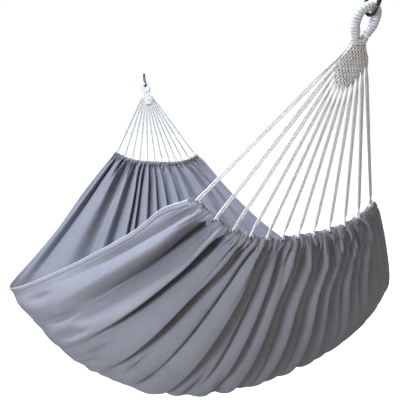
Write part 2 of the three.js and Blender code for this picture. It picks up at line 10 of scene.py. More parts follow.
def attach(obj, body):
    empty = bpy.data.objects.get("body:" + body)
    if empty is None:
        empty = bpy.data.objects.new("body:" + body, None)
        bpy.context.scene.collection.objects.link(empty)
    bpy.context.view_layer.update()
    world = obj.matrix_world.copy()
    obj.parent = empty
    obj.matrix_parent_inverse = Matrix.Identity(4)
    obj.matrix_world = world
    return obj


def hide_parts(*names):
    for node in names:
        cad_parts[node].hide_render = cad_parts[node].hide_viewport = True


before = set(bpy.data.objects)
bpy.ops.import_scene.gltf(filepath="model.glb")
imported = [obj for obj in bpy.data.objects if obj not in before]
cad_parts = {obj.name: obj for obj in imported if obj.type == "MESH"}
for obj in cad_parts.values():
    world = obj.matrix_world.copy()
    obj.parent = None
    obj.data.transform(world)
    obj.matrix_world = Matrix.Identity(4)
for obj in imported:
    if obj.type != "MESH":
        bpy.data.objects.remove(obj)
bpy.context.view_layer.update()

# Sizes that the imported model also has, in metres and radians; the angles of the ends in degrees
HANG_SPAN = 1.8625
HANG_TO_NECK = 0.0455
NECK_TO_FAN = 0.014
FAN_REACH = 0.399
FAN_HALF_ANGLE = math.radians(27.9)
NEAR = {
    "name": "near",
    "side": 1,
    "rise": 57.7,
    "middle_drop": 1.1,
    "corner_lift": 8,
    "tilt": 3.6,
    "bow": -7.1,
    "bend": 3.9,
}
FAR = {
    "name": "far",
    "side": -1,
    "rise": 53.9,
    "middle_drop": -3.6,
    "corner_lift": -0.5,
    "tilt": 3.6,
    "bow": -6.3,
    "bend": 0.2,
}
CLOTH_WIDTH = 1.5
CLOTH_LENGTH = 2.0
LEFT_REACH = 0.61
RIGHT_REACH = 0.594
LEFT_EDGE_DEPTH = 0.722
RIGHT_EDGE_DEPTH = 0.758
BED_DEPTH = 1.063
SECTION_OPENING = math.radians(77.6)
EDGE_FLATNESS = 2.8
SPREAD_POWER = 0.883
LEFT_LEAN = 0.587
RIGHT_LEAN = 0.073
LEFT_SLIDE = -0.158
CORD_COUNT = 12
STRAND_RADIUS = 0.00175
STRAND_SPACING = 0.0042
PAIR_MEET = 0.036
PAIR_TURN = 0.04
LOOP_RADIUS = 0.0049
ROPE_RADIUS = 0.0028
SLEEVE_RADIUS = 0.0048
SLEEVE_DEPTH = 0.0253
HEAD_HALF_WIDTH = 0.025
HEAD_TOP_HALF_WIDTH = 0.014
HEAD_SHOULDER = 0.024
HEAD_LENGTH = 0.071
EYE_BEND = 0.01525
EYE_BEND_CENTRE = 0.04205
EYE_STRAIGHT_TOP = 0.0142
EYE_WAIST = 0.03
CORE_RADIUS = 0.00485
FOOT_ACROSS = 0.00535
LEG_ACROSS = 0.00905
COLLAR_TOP = 0.0103
STOCK_RADIUS = 0.00275
CARABINER_BEND = 0.015
STRAIGHT_TOP = 0.0595
HINGE_UP = 0.022
NOSE_UP = 0.0555

GAPS = CORD_COUNT - 1
CORD_PLACES = np.linspace(-1, 1, CORD_COUNT)


def unit(rows):
    """Rows of vectors, each made one long"""
    return rows / np.maximum(np.linalg.norm(rows, axis=-1, keepdims=True), 1e-12)


def smooth(share):
    """Eases from 0 to 1, and stays there outside"""
    share = np.clip(share, 0, 1)
    return share * share * (3 - 2 * share)


def hang_axes(end):
    """The neck, and the directions across, up the pull line and out from it"""
    rise = math.radians(end["rise"])
    side = end["side"]
    hook = np.array([side * HANG_SPAN / 2, 0, 0])
    up = np.array([side * math.cos(rise), 0, math.sin(rise)])
    across = np.array([0.0, 1, 0])
    out = np.array([side * math.sin(rise), 0, -math.cos(rise)])
    return hook - HANG_TO_NECK * up, across, up, out


def on_hanger(end, across, up, out):
    """Points at distances from the neck: across, up the pull line and outward"""
    origin, right, rising, outward = hang_axes(end)
    across, up, out = (np.asarray(distance)[..., None] for distance in (across, up, out))
    return origin + right * across + rising * up + outward * out


def hem_point(end, place):
    """Points on the hem line, at places from -1 at the left edge to 1 at the right one"""
    place = np.asarray(place, float)
    sweep = FAN_HALF_ANGLE * place
    drop = (
        end["rise"]
        + end["middle_drop"]
        - end["corner_lift"] * place**2
        + end["tilt"] * place
        + end["bow"] * (place**4 - place**2)
        + end["bend"] * (place**3 - place)
    )
    drop = np.radians(drop)
    reach = np.stack(
        [
            -end["side"] * np.cos(drop) * np.cos(sweep),
            np.sin(sweep),
            -np.sin(drop) * np.cos(sweep),
        ],
        axis=-1,
    )
    neck, _, up, _ = hang_axes(end)
    return neck - NECK_TO_FAN * up + FAN_REACH * reach


def bed_point(place, way):
    """Smooth middle surface of the hanging cloth: place goes across, way from far hem to near hem"""
    place, way = np.broadcast_arrays(np.asarray(place, float), np.asarray(way, float))
    left = place < 0
    near_hem = hem_point(NEAR, place)
    far_hem = hem_point(FAR, place)
    middle = (near_hem + far_hem) / 2
    edge_depth = np.where(left, LEFT_EDGE_DEPTH, RIGHT_EDGE_DEPTH)
    rim = math.cos(SECTION_OPENING)
    bowl = (np.cos(SECTION_OPENING * place) - rim) / (1 - rim)
    target_y = np.where(left, LEFT_REACH, RIGHT_REACH) * np.sin(SECTION_OPENING * place)
    target_y = target_y / math.sin(SECTION_OPENING)
    target_z = -(edge_depth + (BED_DEPTH - edge_depth) * bowl)
    edgeness = place**2
    middle_sag = 4 * way * (1 - way)
    flat = math.cosh(EDGE_FLATNESS)
    edge_sag = (flat - np.cosh(EDGE_FLATNESS * (2 * way - 1))) / (flat - 1)
    sag = middle_sag * (1 - edgeness) + edge_sag * edgeness
    spread = np.maximum(middle_sag, 0) ** SPREAD_POWER
    lean = 1 + np.where(left, LEFT_LEAN, RIGHT_LEAN) * edgeness * (1 - 2 * way)
    point = far_hem + (near_hem - far_hem) * way[..., None]
    point[..., 0] += np.where(left, LEFT_SLIDE, 0) * edgeness * sag
    point[..., 1] += (target_y - middle[..., 1]) * spread * lean
    point[..., 2] += (target_z - middle[..., 2]) * sag * lean
    return point


# Camera, as the photo was taken
CAMERA_PLACE = Vector((1.6011, -0.4514, -0.1410))
CAMERA_YAW = 2.8626
CAMERA_PITCH = -0.1698
CAMERA_ROLL = -0.0135
CAMERA_LENS = 45.07
SENSOR_WIDTH = 36
CLIP_START = 0.02


def aim_camera():
    camera = new_object("view_camera", bpy.data.cameras.new("view_camera"))
    bpy.context.scene.camera = camera
    camera.data.sensor_width = SENSOR_WIDTH
    camera.data.lens = CAMERA_LENS
    camera.data.clip_start = CLIP_START
    ahead = Vector(
        (
            math.cos(CAMERA_YAW) * math.cos(CAMERA_PITCH),
            math.sin(CAMERA_YAW) * math.cos(CAMERA_PITCH),
            math.sin(CAMERA_PITCH),
        )
    )
    level = Vector((ahead.y, -ahead.x, 0)).normalized()
    upright = level.cross(ahead)
    right = math.cos(CAMERA_ROLL) * level + math.sin(CAMERA_ROLL) * upright
    up = math.cos(CAMERA_ROLL) * upright - math.sin(CAMERA_ROLL) * level
    turn = Matrix((right, up, -ahead)).transposed().to_4x4()
    camera.matrix_world = Matrix.Translation(CAMERA_PLACE) @ turn


def new_object(name, data):
    """An object that is in the scene"""
    thing = bpy.data.objects.new(name, data)
    bpy.context.scene.collection.objects.link(thing)
    return thing


def new_bmesh():
    """An empty bmesh with a UV map"""
    bm = bmesh.new()
    bm.loops.layers.uv.new("UVMap")
    return bm


def as_mesh(name, bm):
    """A bmesh made into a mesh"""
    mesh = bpy.data.meshes.new(name)
    bm.to_mesh(mesh)
    bm.free()
    return mesh


def grid_mesh(columns, rows):
    """A flat grid, 1 by 1, as a mesh with a UV map, and each vertex's column and row"""
    bm = new_bmesh()
    bmesh.ops.create_grid(bm, x_segments=columns, y_segments=rows, size=0.5, calc_uvs=True)
    mesh = as_mesh("grid", bm)
    flat = np.empty(len(mesh.vertices) * 3)
    mesh.vertices.foreach_get("co", flat)
    flat = flat.reshape(-1, 3) + 0.5
    column = np.rint(flat[:, 0] * columns).astype(int)
    row = np.rint(flat[:, 1] * rows).astype(int)
    return mesh, column, row


def scale_uvs(mesh, across, along):
    """Stretches a grid's texture coordinates to its size in metres"""
    layer = mesh.uv_layers[0].data
    flat = np.empty(len(layer) * 2)
    layer.foreach_get("uv", flat)
    flat = flat.reshape(-1, 2) * (across, along)
    layer.foreach_set("uv", flat.ravel())


def set_uvs(mesh, across, along):
    """Texture coordinates in metres, from each vertex's distances across and along the piece"""
    layer = mesh.uv_layers[0].data
    corners = np.empty(len(layer), int)
    mesh.loops.foreach_get("vertex_index", corners)
    layer.foreach_set("uv", np.stack([across[corners], along[corners]], axis=1).ravel())


def put_points(mesh, points):
    """Moves a mesh's vertices to the points"""
    mesh.vertices.foreach_set("co", np.ascontiguousarray(points).ravel())
    mesh.update()


def lengths_along(points):
    """How far along its path each point lies"""
    steps = np.linalg.norm(np.diff(points, axis=0), axis=-1)
    return np.concatenate([np.zeros_like(steps[:1]), np.cumsum(steps, axis=0)])


def points_at(wanted, lengths, points):
    """Points at the wanted lengths along a path"""
    return np.stack([np.interp(wanted, lengths, points[:, axis]) for axis in range(3)], axis=1)


def even_path(points, step):
    """The path through the points, sampled at even steps"""
    points = np.asarray(points, float)
    lengths = lengths_along(points)
    count = max(int(round(lengths[-1] / step)), 2) + 1
    return points_at(np.linspace(0, lengths[-1], count), lengths, points)


def rounded_path(points, step, passes):
    """An even path whose corners are softened"""
    path = even_path(points, step)
    for _ in range(passes):
        path[1:-1] = (path[:-2] + 2 * path[1:-1] + path[2:]) / 4
    return even_path(path, step)


def path_frames(path, first_side=None):
    """Two directions across the path at each of its points, which don't twist"""
    tangents = unit(np.gradient(path, axis=0))
    if first_side is None:
        first_side = (0, 0, 1) if abs(tangents[0][2]) < 0.9 else (1, 0, 0)
    helper = np.asarray(first_side, float)
    side = unit(helper - tangents[0] * np.dot(helper, tangents[0]))
    sides = np.empty_like(path)
    for index, tangent in enumerate(tangents):
        side = side - tangent * np.dot(side, tangent)
        side = side / max(np.linalg.norm(side), 1e-12)
        sides[index] = side
    return sides, np.cross(tangents, sides)


def add_closed(bm, mesh, weld=1e-7):
    """Closes a tube of grid faces at its seam and its ends, and adds it to the bmesh"""
    tube = bmesh.new()
    tube.from_mesh(mesh)
    bmesh.ops.remove_doubles(tube, verts=tube.verts, dist=weld)
    bmesh.ops.holes_fill(tube, edges=tube.edges, sides=0)
    bmesh.ops.recalc_face_normals(tube, faces=tube.faces)
    tube.to_mesh(mesh)
    tube.free()
    bm.from_mesh(mesh)
    bpy.data.meshes.remove(mesh)


# Step of the rounded paths, and the angles of half a circle
PATH_STEP = 0.0014
ARC = np.linspace(0, math.pi, 25)

# How each cord is laid: its plies, the length in which they go round once, and how deep they part
ROPE_LAY = (3, 0.017, 0.16)
CORD_LAY = (3, 0.0085, 0.07)
PLAIT_LAY = (2, 0.009, 0.08)
EDGE_LAY = (3, 0.011, 0.12)
CORE_LAY = (3, 0.022, 0.10)
COLLAR_LAY = (2, 0.006, 0.07)


def add_rod(bm, path, radius, sides, cord_lay=None, first_side=None, flatten=1):
    """Adds a closed rod along a path: round, or flattened square to its first side, and twisted
    like a laid cord where it has a lay"""
    path = np.asarray(path, float)
    mesh, column, row = grid_mesh(sides, len(path) - 1)
    side, other = path_frames(path, first_side)
    along = lengths_along(path)
    angle = 2 * math.pi * column / sides
    radii = np.broadcast_to(radius, len(path))[row]
    if cord_lay:
        plies, lay, depth = cord_lay
        twist = plies * (angle - 2 * math.pi * along[row] / lay)
        radii = radii * (1 - depth + depth * np.abs(np.cos(twist / 2)) * 2)
    points = path[row] + side[row] * (radii * np.cos(angle))[:, None]
    points = points + other[row] * (radii * flatten * np.sin(angle))[:, None]
    put_points(mesh, points)
    scale_uvs(mesh, 2 * math.pi * float(np.mean(radii)), along[-1])
    add_closed(bm, mesh)


def finish_mesh(name, mesh, material, body, nodes=()):
    """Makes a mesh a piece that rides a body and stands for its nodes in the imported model"""
    mesh.name = name
    mesh.materials.append(material)
    mesh.polygons.foreach_set("use_smooth", [True] * len(mesh.polygons))
    piece = new_object(name, mesh)
    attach(piece, body)
    if nodes:
        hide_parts(*nodes)
    return piece


def finish_piece(end, part, ending, bm, material, body="hammock"):
    """The same from a bmesh, for a piece that stands for one node at an end"""
    node = f"{end['name']}_{part}"
    name = f"{node}_{ending}"
    return finish_mesh(name, as_mesh(name, bm), material, body, [node])


def thicken(sheet, thickness):
    """Gives a sheet of cloth its thickness, half on each side"""
    wall = sheet.modifiers.new("cloth_thickness", "SOLIDIFY")
    wall.thickness = thickness
    wall.offset = 0


class Nodes:
    """Short calls for building a material's node tree"""

    def __init__(self, name):
        self.material = bpy.data.materials.new(name)
        self.material.use_nodes = True
        self.tree = self.material.node_tree
        self.tree.nodes.clear()
        self.shader = self.add("ShaderNodeBsdfPrincipled")
        self.add("ShaderNodeOutputMaterial", {"Surface": self.shader.outputs["BSDF"]})

    def feed(self, target, value):
        """Links or sets an input"""
        if isinstance(value, bpy.types.NodeSocket):
            self.tree.links.new(value, target)
        else:
            target.default_value = value

    def add(self, kind, inputs=None, **settings):
        """A node with its settings, and its inputs linked or set"""
        node = self.tree.nodes.new(kind)
        for key, value in settings.items():
            setattr(node, key, value)
        for key, value in (inputs or {}).items():
            self.feed(node.inputs[key], value)
        return node

    def surface(self, **inputs):
        """Links or sets the shader's inputs, and gives the material"""
        for name, value in inputs.items():
            self.feed(self.shader.inputs[name.replace("_", " ")], value)
        return self.material

    def math(self, operation, first, second=0.0):
        return self.add("ShaderNodeMath", {0: first, 1: second}, operation=operation).outputs[0]

    def coordinates(self, kind):
        return self.add("ShaderNodeTexCoord").outputs[kind]

    def mapped(self, source, scale=(1, 1, 1), turn=(0, 0, 0), shift=(0, 0, 0)):
        inputs = {"Vector": source, "Scale": scale, "Rotation": turn, "Location": shift}
        return self.add("ShaderNodeMapping", inputs).outputs["Vector"]

    def noise(self, source, scale, detail, roughness):
        inputs = {"Vector": source, "Scale": scale, "Detail": detail, "Roughness": roughness}
        return self.add("ShaderNodeTexNoise", inputs).outputs["Fac"]

    def wave(self, source, scale, direction, distortion):
        inputs = {"Vector": source, "Scale": scale, "Distortion": distortion}
        bands = {"wave_type": "BANDS", "bands_direction": direction}
        return self.add("ShaderNodeTexWave", inputs, **bands).outputs["Fac"]

    def between(self, value, low, high, to_low=0.0, to_high=1.0):
        inputs = {"Value": value, "From Min": low, "From Max": high}
        inputs.update({"To Min": to_low, "To Max": to_high})
        return self.add("ShaderNodeMapRange", inputs).outputs["Result"]

    def mix(self, share, first, second):
        """Mixes two colours, which are the node's inputs 6 and 7"""
        inputs = {0: share, 6: first, 7: second}
        return self.add("ShaderNodeMix", inputs, data_type="RGBA").outputs[2]

    def bump(self, height, strength, distance, under=None):
        inputs = {"Height": height, "Strength": strength, "Distance": distance}
        if under is not None:
            inputs["Normal"] = under
        return self.add("ShaderNodeBump", inputs).outputs["Normal"]


def colour(red, green, blue):
    return (red, green, blue, 1.0)


CLOTH_DARK = colour(0.158, 0.155, 0.172)
CLOTH_BODY = colour(0.196, 0.193, 0.212)
CLOTH_LIGHT = colour(0.250, 0.247, 0.270)
# Pale tone of the painted highlight along a side hem's fold
FOLD_HIGHLIGHT_TONE = colour(0.56, 0.56, 0.58)
SEWING_THREAD = colour(0.245, 0.25, 0.28)
WEAVE_SCALE = 420.0
SLUB_SCALE = 260
SLUB_STRETCH = 14
STITCH_LENGTH = 0.0042
STITCH_SHARE = 0.72
THREAD_HALF_WIDTH = 0.00045
# Half width and reach of the painted highlight along a side hem's fold
FOLD_HIGHLIGHT_HALF_WIDTH = 0.0012
FOLD_HIGHLIGHT_REACH = 0.0035


def cloth_finish(nodes, uv):
    """Brushed grey cotton in a plain weave: sets its gloss, and gives its colour and its relief"""
    warp = nodes.wave(uv, WEAVE_SCALE, "X", 0.6)
    weft = nodes.wave(uv, WEAVE_SCALE, "Y", 0.6)
    threads = nodes.math("MULTIPLY", warp, weft)
    long_slub = nodes.mapped(uv, (SLUB_SCALE, SLUB_STRETCH, 1))
    cross_slub = nodes.mapped(uv, (SLUB_STRETCH, SLUB_SCALE, 1), shift=(3, 7, 0))
    both = nodes.math("ADD", *(nodes.noise(slub, 1.0, 3.0, 0.6) for slub in (long_slub, cross_slub)))
    slub = nodes.math("MULTIPLY", both, 0.5)
    patches = nodes.noise(uv, 3.5, 4.0, 0.55)
    fade = nodes.noise(nodes.mapped(uv, shift=(11, 5, 0)), 14.0, 5.0, 0.6)
    tone = nodes.mix(nodes.between(patches, 0.35, 0.65), CLOTH_DARK, CLOTH_LIGHT)
    tone = nodes.mix(0.55, tone, CLOTH_BODY)
    tone = nodes.mix(nodes.between(slub, 0.35, 0.65, 0.0, 0.45), tone, CLOTH_LIGHT)
    tone = nodes.mix(nodes.between(threads, 0.0, 0.6, 0.22, 0.0), tone, CLOTH_DARK)
    tone = nodes.mix(nodes.between(fade, 0.45, 0.75, 0.0, 0.25), tone, CLOTH_LIGHT)
    rough = nodes.between(slub, 0.3, 0.7, 0.82, 0.96)
    nodes.surface(Roughness=rough, Specular_IOR_Level=0.25, Sheen_Weight=0.12, Sheen_Roughness=0.5)
    crumple = nodes.noise(nodes.mapped(uv, shift=(2, 9, 0)), 34.0, 4.0, 0.55)
    relief = nodes.bump(crumple, 0.5, 0.005)
    relief = nodes.bump(slub, 0.25, 0.0006, relief)
    return tone, nodes.bump(threads, 0.5, 0.0004, relief)


def make_cloth(name, seams=(), highlight_at=None):
    """The grey cloth. The Y of a strip's texture is the distance from its edge: rows of stitches
    run at the seams' distances, and a painted highlight, a pale line where the hem's fold
    catches the light, lies at the given distance"""
    nodes = Nodes(name)
    uv = nodes.coordinates("UV")
    tone, relief = cloth_finish(nodes, uv)
    place = nodes.add("ShaderNodeSeparateXYZ", {0: uv}).outputs

    def away_from(line):
        return nodes.math("ABSOLUTE", nodes.math("SUBTRACT", place["Y"], line))

    # Painted highlight: a pale line along the hem's fold, where the edge catches the light
    if highlight_at is not None:
        pale = nodes.between(away_from(highlight_at), FOLD_HIGHLIGHT_HALF_WIDTH, FOLD_HIGHLIGHT_REACH, 0.75, 0.0)
        tone = nodes.mix(pale, tone, FOLD_HIGHLIGHT_TONE)
    if seams:
        along = nodes.math("FRACT", nodes.math("DIVIDE", place["X"], STITCH_LENGTH))
        rows = 0.0
        for seam in seams:
            row = nodes.math("LESS_THAN", away_from(seam), THREAD_HALF_WIDTH)
            rows = nodes.math("MAXIMUM", rows, row)
        stitches = nodes.math("MULTIPLY", rows, nodes.math("LESS_THAN", along, STITCH_SHARE))
        tone = nodes.mix(stitches, tone, SEWING_THREAD)
        relief = nodes.bump(stitches, 0.4, 0.0004, relief)
    return nodes.surface(Base_Color=tone, Normal=relief)


FIBRE_SCALE = (1500, 160, 1)
FIBRE_SLANT = 0.6


def start_cotton(name, shade, body):
    """Cotton yarn with fine fibres along its lay. It scatters light inside itself, so its shaded
    side stays pale"""
    nodes = Nodes(name)
    lay = nodes.mapped(nodes.coordinates("UV"), FIBRE_SCALE, turn=(0, 0, FIBRE_SLANT))
    fibres = nodes.noise(lay, 1.0, 4.0, 0.65)
    nodes.surface(
        Roughness=nodes.between(fibres, 0.2, 0.8, 0.95, 0.8),
        Specular_IOR_Level=0.2,
        Sheen_Weight=0.2,
        Subsurface_Weight=0.9,
        Subsurface_Radius=(1.0, 0.95, 0.9),
        Subsurface_Scale=0.005,
    )
    return nodes, fibres, nodes.mix(nodes.between(fibres, 0.3, 0.7), shade, body)


def make_cotton(name, body, shade):
    """Off-white cotton cord, a little grey in places"""
    nodes, fibres, tone = start_cotton(name, shade, body)
    place = nodes.coordinates("Object")
    soil = nodes.between(nodes.noise(place, 38.0, 4.0, 0.6), 0.5, 0.8, 0.0, 0.35)
    fuzz = nodes.noise(place, 900.0, 2.0, 0.5)
    relief = nodes.bump(fuzz, 0.2, 0.0002, nodes.bump(fibres, 0.3, 0.0003))
    return nodes.surface(Base_Color=nodes.mix(soil, tone, shade), Normal=relief)


WARM_PLACE = (0.010, -0.012, 0.006)
WARM_TINT = colour(0.50, 0.395, 0.30)


def make_plait_cotton():
    """The cord's cotton with a warm tint at the upper right of the near plait"""
    dull, bright = colour(0.56, 0.543, 0.52), colour(0.64, 0.62, 0.595)
    nodes, fibres, tone = start_cotton("plait_cotton", dull, bright)
    ends = {0: nodes.coordinates("Object"), 1: tuple(on_hanger(NEAR, *WARM_PLACE))}
    away = nodes.add("ShaderNodeVectorMath", ends, operation="DISTANCE").outputs["Value"]
    tone = nodes.mix(nodes.between(away, 0.004, 0.026, 0.7, 0.0), tone, WARM_TINT)
    return nodes.surface(Base_Color=tone, Normal=nodes.bump(fibres, 0.5, 0.0004))


def make_black_steel():
    """Black painted steel, worn and dusty in places"""
    nodes = Nodes("black_painted_steel")
    place = nodes.coordinates("Object")
    grain = nodes.noise(place, 700.0, 3.0, 0.6)
    rub = nodes.noise(place, 90.0, 5.0, 0.7)
    paint, dull_paint = colour(0.007, 0.007, 0.008), colour(0.016, 0.016, 0.018)
    tone = nodes.mix(nodes.between(grain, 0.3, 0.7), paint, dull_paint)
    worn = nodes.math("MULTIPLY", nodes.between(rub, 0.60, 0.72), 0.5)
    return nodes.surface(
        Base_Color=nodes.mix(worn, tone, colour(0.06, 0.06, 0.062)),
        Roughness=nodes.between(rub, 0.35, 0.7, 0.34, 0.55),
        Coat_Weight=0.15,
        Normal=nodes.bump(grain, 0.25, 0.0002),
    )


def make_pin_steel():
    """Bare plated steel with fine turning marks"""
    nodes = Nodes("plated_pin_steel")
    marks = nodes.noise(nodes.mapped(nodes.coordinates("Object"), (200, 4000, 200)), 1.0, 3.0, 0.6)
    dull, bright = colour(0.36, 0.36, 0.37), colour(0.55, 0.55, 0.56)
    return nodes.surface(
        Base_Color=nodes.mix(nodes.between(marks, 0.3, 0.7), dull, bright),
        Metallic=1.0,
        Roughness=nodes.between(marks, 0.3, 0.7, 0.28, 0.45),
        Normal=nodes.bump(marks, 0.2, 0.0001),
    )


# The bed's grid, and how the cloth spreads past the outermost cords: the right corners a little, and
# the left edge in a bulge below its corners, as shares of the half width
BED_COLUMNS = 530
BED_ROWS = 88
ROW_CROWDING = 0.86
COLUMN_CROWDING = 0.045
CLOTH_THICKNESS = 0.0011
CORNER_SPARE = 0.07
CORNER_REACH = 0.12
CORNER_ROUNDING = 0.6
LEFT_SPARE = 0.02
LEFT_SPARE_REACH = 0.5
BULGE = 0.035
BULGE_AT = 0.10
BULGE_WIDTH = 0.07

# Depth of the folds: it rises from the hem, and fades to a rest in the middle of the bed
FOLD_PEAK = {"near": 0.045, "far": 0.044}
FOLD_RISE = 0.08
FOLD_SPREAD = 0.25
FOLD_REST = {"near": 0.24, "far": 0.35}
FOLD_FADE_START = {"near": 0.30, "far": 0.45}
FOLD_FADE_LENGTH = 0.40
FOLD_BIAS = {"near": 0.75, "far": 0.45}
FOLD_LEAN = 0.36
LEAN_RISE = 0.16
NEAR_HALF_FROM = 0.3
NEAR_HALF_OVER = 0.4
QUIET_EDGE = 0.04
UPRIGHT_EDGE = 0.25
FOLD_SEED = {"near": 12, "far": 31}

# Where the folds are shallower besides: the share they lose, from which line over how many lines,
# and from which distance over what length; one that starts outside the hem holds all along
SHALLOWS = (
    (0.8, 6.5, 2.5, 0.18, 0.22),
    (0.2, 5.5, 2.0, -1.0, 1.0),
    (0.55, 2.6, -1.2, 0.5, 0.25),
)

# Fine gathers at the hems, how far they reach, and the coarser ones that follow them
RUFFLE_HEIGHT = 0.0105
RUFFLE_REACH = 0.030
RUFFLES_PER_GAP = 5.0
RUFFLE_PITCHES = (0.62, 0.83, 1.0, 1.19)
CREASE_HEIGHT = 0.0088
CREASE_RISE = 0.03
CREASE_HOLD = 0.04
CREASE_REACH = 0.06
CREASES_PER_GAP = 2.6

# Dents are drawn between limits: line, way, half width, half length, depth and slant
DENT_COUNT = 44
DENT_SEED = 41
DENT_LIMITS = ((0.9, 8.5), (0.36, 0.74), (0.06, 0.15), (0.03, 0.10), (0.004, 0.010), (-2.0, 2.0))

# Each fold, counted in gaps between cords from the left edge: where it starts and where its edge is
# at the hem, the same lower down, its height at the start and at the edge, and the width of its drop
NEAR_FOLDS = (
    (0.00, 0.02, 0.00, 0.02, 0.75, 0.75, 0.25),
    (0.28, 0.52, 0.26, 0.58, 0.45, 1.45, 0.38),
    (1.12, 1.60, 0.99, 1.64, -0.35, 1.08, 0.22),
    (1.95, 2.78, 1.88, 2.66, -0.10, 1.00, 0.16),
    (2.97, 3.45, 2.95, 3.45, 0.00, 0.75, 0.12),
    (3.60, 3.98, 3.60, 4.06, 0.45, 1.05, 0.12),
    (4.12, 4.55, 4.20, 4.60, 0.00, 0.72, 0.12),
    (4.70, 5.02, 4.74, 5.08, 0.42, 0.90, 0.10),
    (5.14, 5.88, 5.20, 5.64, 0.05, 0.95, 0.10),
    (6.00, 6.36, 5.76, 5.99, 0.00, 0.66, 0.12),
    (6.50, 6.82, 6.12, 6.33, 0.42, 0.95, 0.13),
    (6.97, 7.36, 6.48, 6.71, 0.00, 0.66, 0.12),
    (7.50, 7.80, 6.84, 7.07, 0.42, 0.95, 0.14),
    (7.95, 8.62, 7.22, 7.58, 0.05, 0.88, 0.15),
    (8.80, 9.14, 7.74, 8.07, 0.08, 0.70, 0.14),
    (9.30, 9.47, 8.22, 8.55, 0.38, 0.80, 0.14),
    (9.62, 9.83, 8.72, 9.02, 0.15, 0.70, 0.14),
    (9.98, 10.42, 9.18, 9.48, 0.38, 0.80, 0.14),
    (10.56, 10.72, 9.64, 10.12, 0.12, 0.62, 0.13),
    (10.82, 11.05, 10.25, 11.05, 0.30, 0.60, 0.10),
)
FAR_FOLDS = (
    (0.00, 0.15, 0.00, 0.20, 0.45, 0.75, 0.30),
    (0.50, 0.95, 0.60, 1.35, 0.00, 1.10, 0.80),
    (2.05, 2.30, 2.30, 2.52, 0.00, 1.00, 0.48),
    (2.95, 3.12, 3.15, 3.35, 0.00, 1.00, 0.26),
    (3.48, 3.60, 3.65, 3.78, 0.15, 0.75, 0.20),
    (3.95, 4.20, 4.12, 4.34, 0.00, 1.00, 0.32),
    (4.68, 4.90, 4.74, 4.92, 0.10, 0.75, 0.22),
    (5.25, 5.45, 5.25, 5.46, 0.00, 0.95, 0.36),
    (5.92, 6.20, 5.95, 6.20, 0.00, 1.00, 0.50),
    (6.80, 7.15, 6.85, 7.20, 0.00, 1.00, 0.60),
    (7.90, 8.40, 8.00, 8.60, 0.00, 1.00, 0.60),
    (9.30, 9.65, 9.45, 9.75, 0.10, 0.70, 0.30),
    (10.10, 11.05, 10.20, 11.05, 0.10, 0.45, 0.10),
)

# Short creases low on the left: the line and the distance from the hem where each lies, its
# half width in lines, its half length and its depth
SHORT_CREASES = (
    (0.40, 0.82, 0.10, 0.08, 0.011),
    (1.05, 0.74, 0.09, 0.11, 0.016),
    (1.24, 0.58, 0.09, 0.09, 0.013),
    (1.52, 0.70, 0.08, 0.07, 0.011),
    (2.15, 0.64, 0.08, 0.07, 0.012),
    (2.42, 0.76, 0.09, 0.06, 0.013),
    (3.08, 0.60, 0.07, 0.08, 0.015),
    (3.60, 0.68, 0.08, 0.07, 0.009),
)


def column_places():
    """Places of the bed's columns: closer together at the valleys, which lie at the cords"""
    line = np.linspace(0, GAPS, BED_COLUMNS + 1)
    line = line - COLUMN_CROWDING * np.sin(2 * math.pi * line)
    return 2 * line / GAPS - 1


def spread_place(place, distance):
    """Place on the smooth cloth, at a distance from the hem, spread past the outermost cords"""
    rounding = CORNER_ROUNDING + (1 - CORNER_ROUNDING) * smooth(distance / SLEEVE_DEPTH)
    right = CORNER_SPARE * np.exp(-distance / CORNER_REACH) * rounding
    left = LEFT_SPARE + BULGE * np.exp(-(((distance - BULGE_AT) / BULGE_WIDTH) ** 2))
    return place * (1 + np.where(place > 0, right, left * np.exp(-distance / LEFT_SPARE_REACH)))


def ruffles(line, seed, per_gap):
    """Fine gathers along a hem, from about -1 to 1, with sharp bottoms"""
    random = np.random.default_rng(seed)
    total = np.zeros_like(line)
    for pitch in RUFFLE_PITCHES:
        drift = 0.9 * np.sin(2.3 * pitch * line) + random.uniform(0, 6.3)
        wave = np.sin(math.pi * per_gap * pitch * line + drift)
        total += random.uniform(0.5, 1.0) * (2 * np.abs(wave) ** 0.8 - 1)
    return total / 2.0


def wander(line, ways, seed):
    """Moves the folds' lines gently from side to side along the cloth"""
    slow = 0.04 * np.sin(1.9 * line + 4 * ways + seed)
    return slow + 0.025 * np.sin(3.7 * line - 6 * ways + 2 * seed)


def fold_heights(line, distance, folds):
    """Height of the folds: each rises out of its valley to an edge, and drops there to the next"""
    lower = smooth(distance / FOLD_SPREAD)
    starts = [fold[0] + (fold[2] - fold[0]) * lower for fold in folds]
    starts.append(np.full_like(line, GAPS + 1))
    feet = [fold[4] for fold in folds] + [0]
    total = np.zeros_like(line)
    for index, (_, edge_hem, _, edge_low, foot, height, drop) in enumerate(folds):
        start = starts[index]
        edge = edge_hem + (edge_low - edge_hem) * lower
        share = np.clip((line - start) / (edge - start), 0, 1)
        rise = foot + (height - foot) * np.sin(math.pi / 2 * share**0.75)
        next_foot = feet[index + 1]
        fall = next_foot + (height - next_foot) * (1 - smooth((line - edge) / drop))
        here = (line >= start) & (line < starts[index + 1])
        total = np.where(here, np.where(line < edge, rise, fall), total)
    return total


def dents(line, ways):
    """Short soft creases where the cloth is pulled, mostly low on the left"""
    random = np.random.default_rng(DENT_SEED)
    total = np.zeros_like(ways)
    for _ in range(DENT_COUNT):
        drawn = (random.uniform(*limits) for limits in DENT_LIMITS)
        centre, along, width, length, depth, slant = drawn
        off = (line - centre - slant * (ways - along)) / width
        total -= depth * np.exp(-(off**2) - ((ways - along) / length) ** 2)
    return total


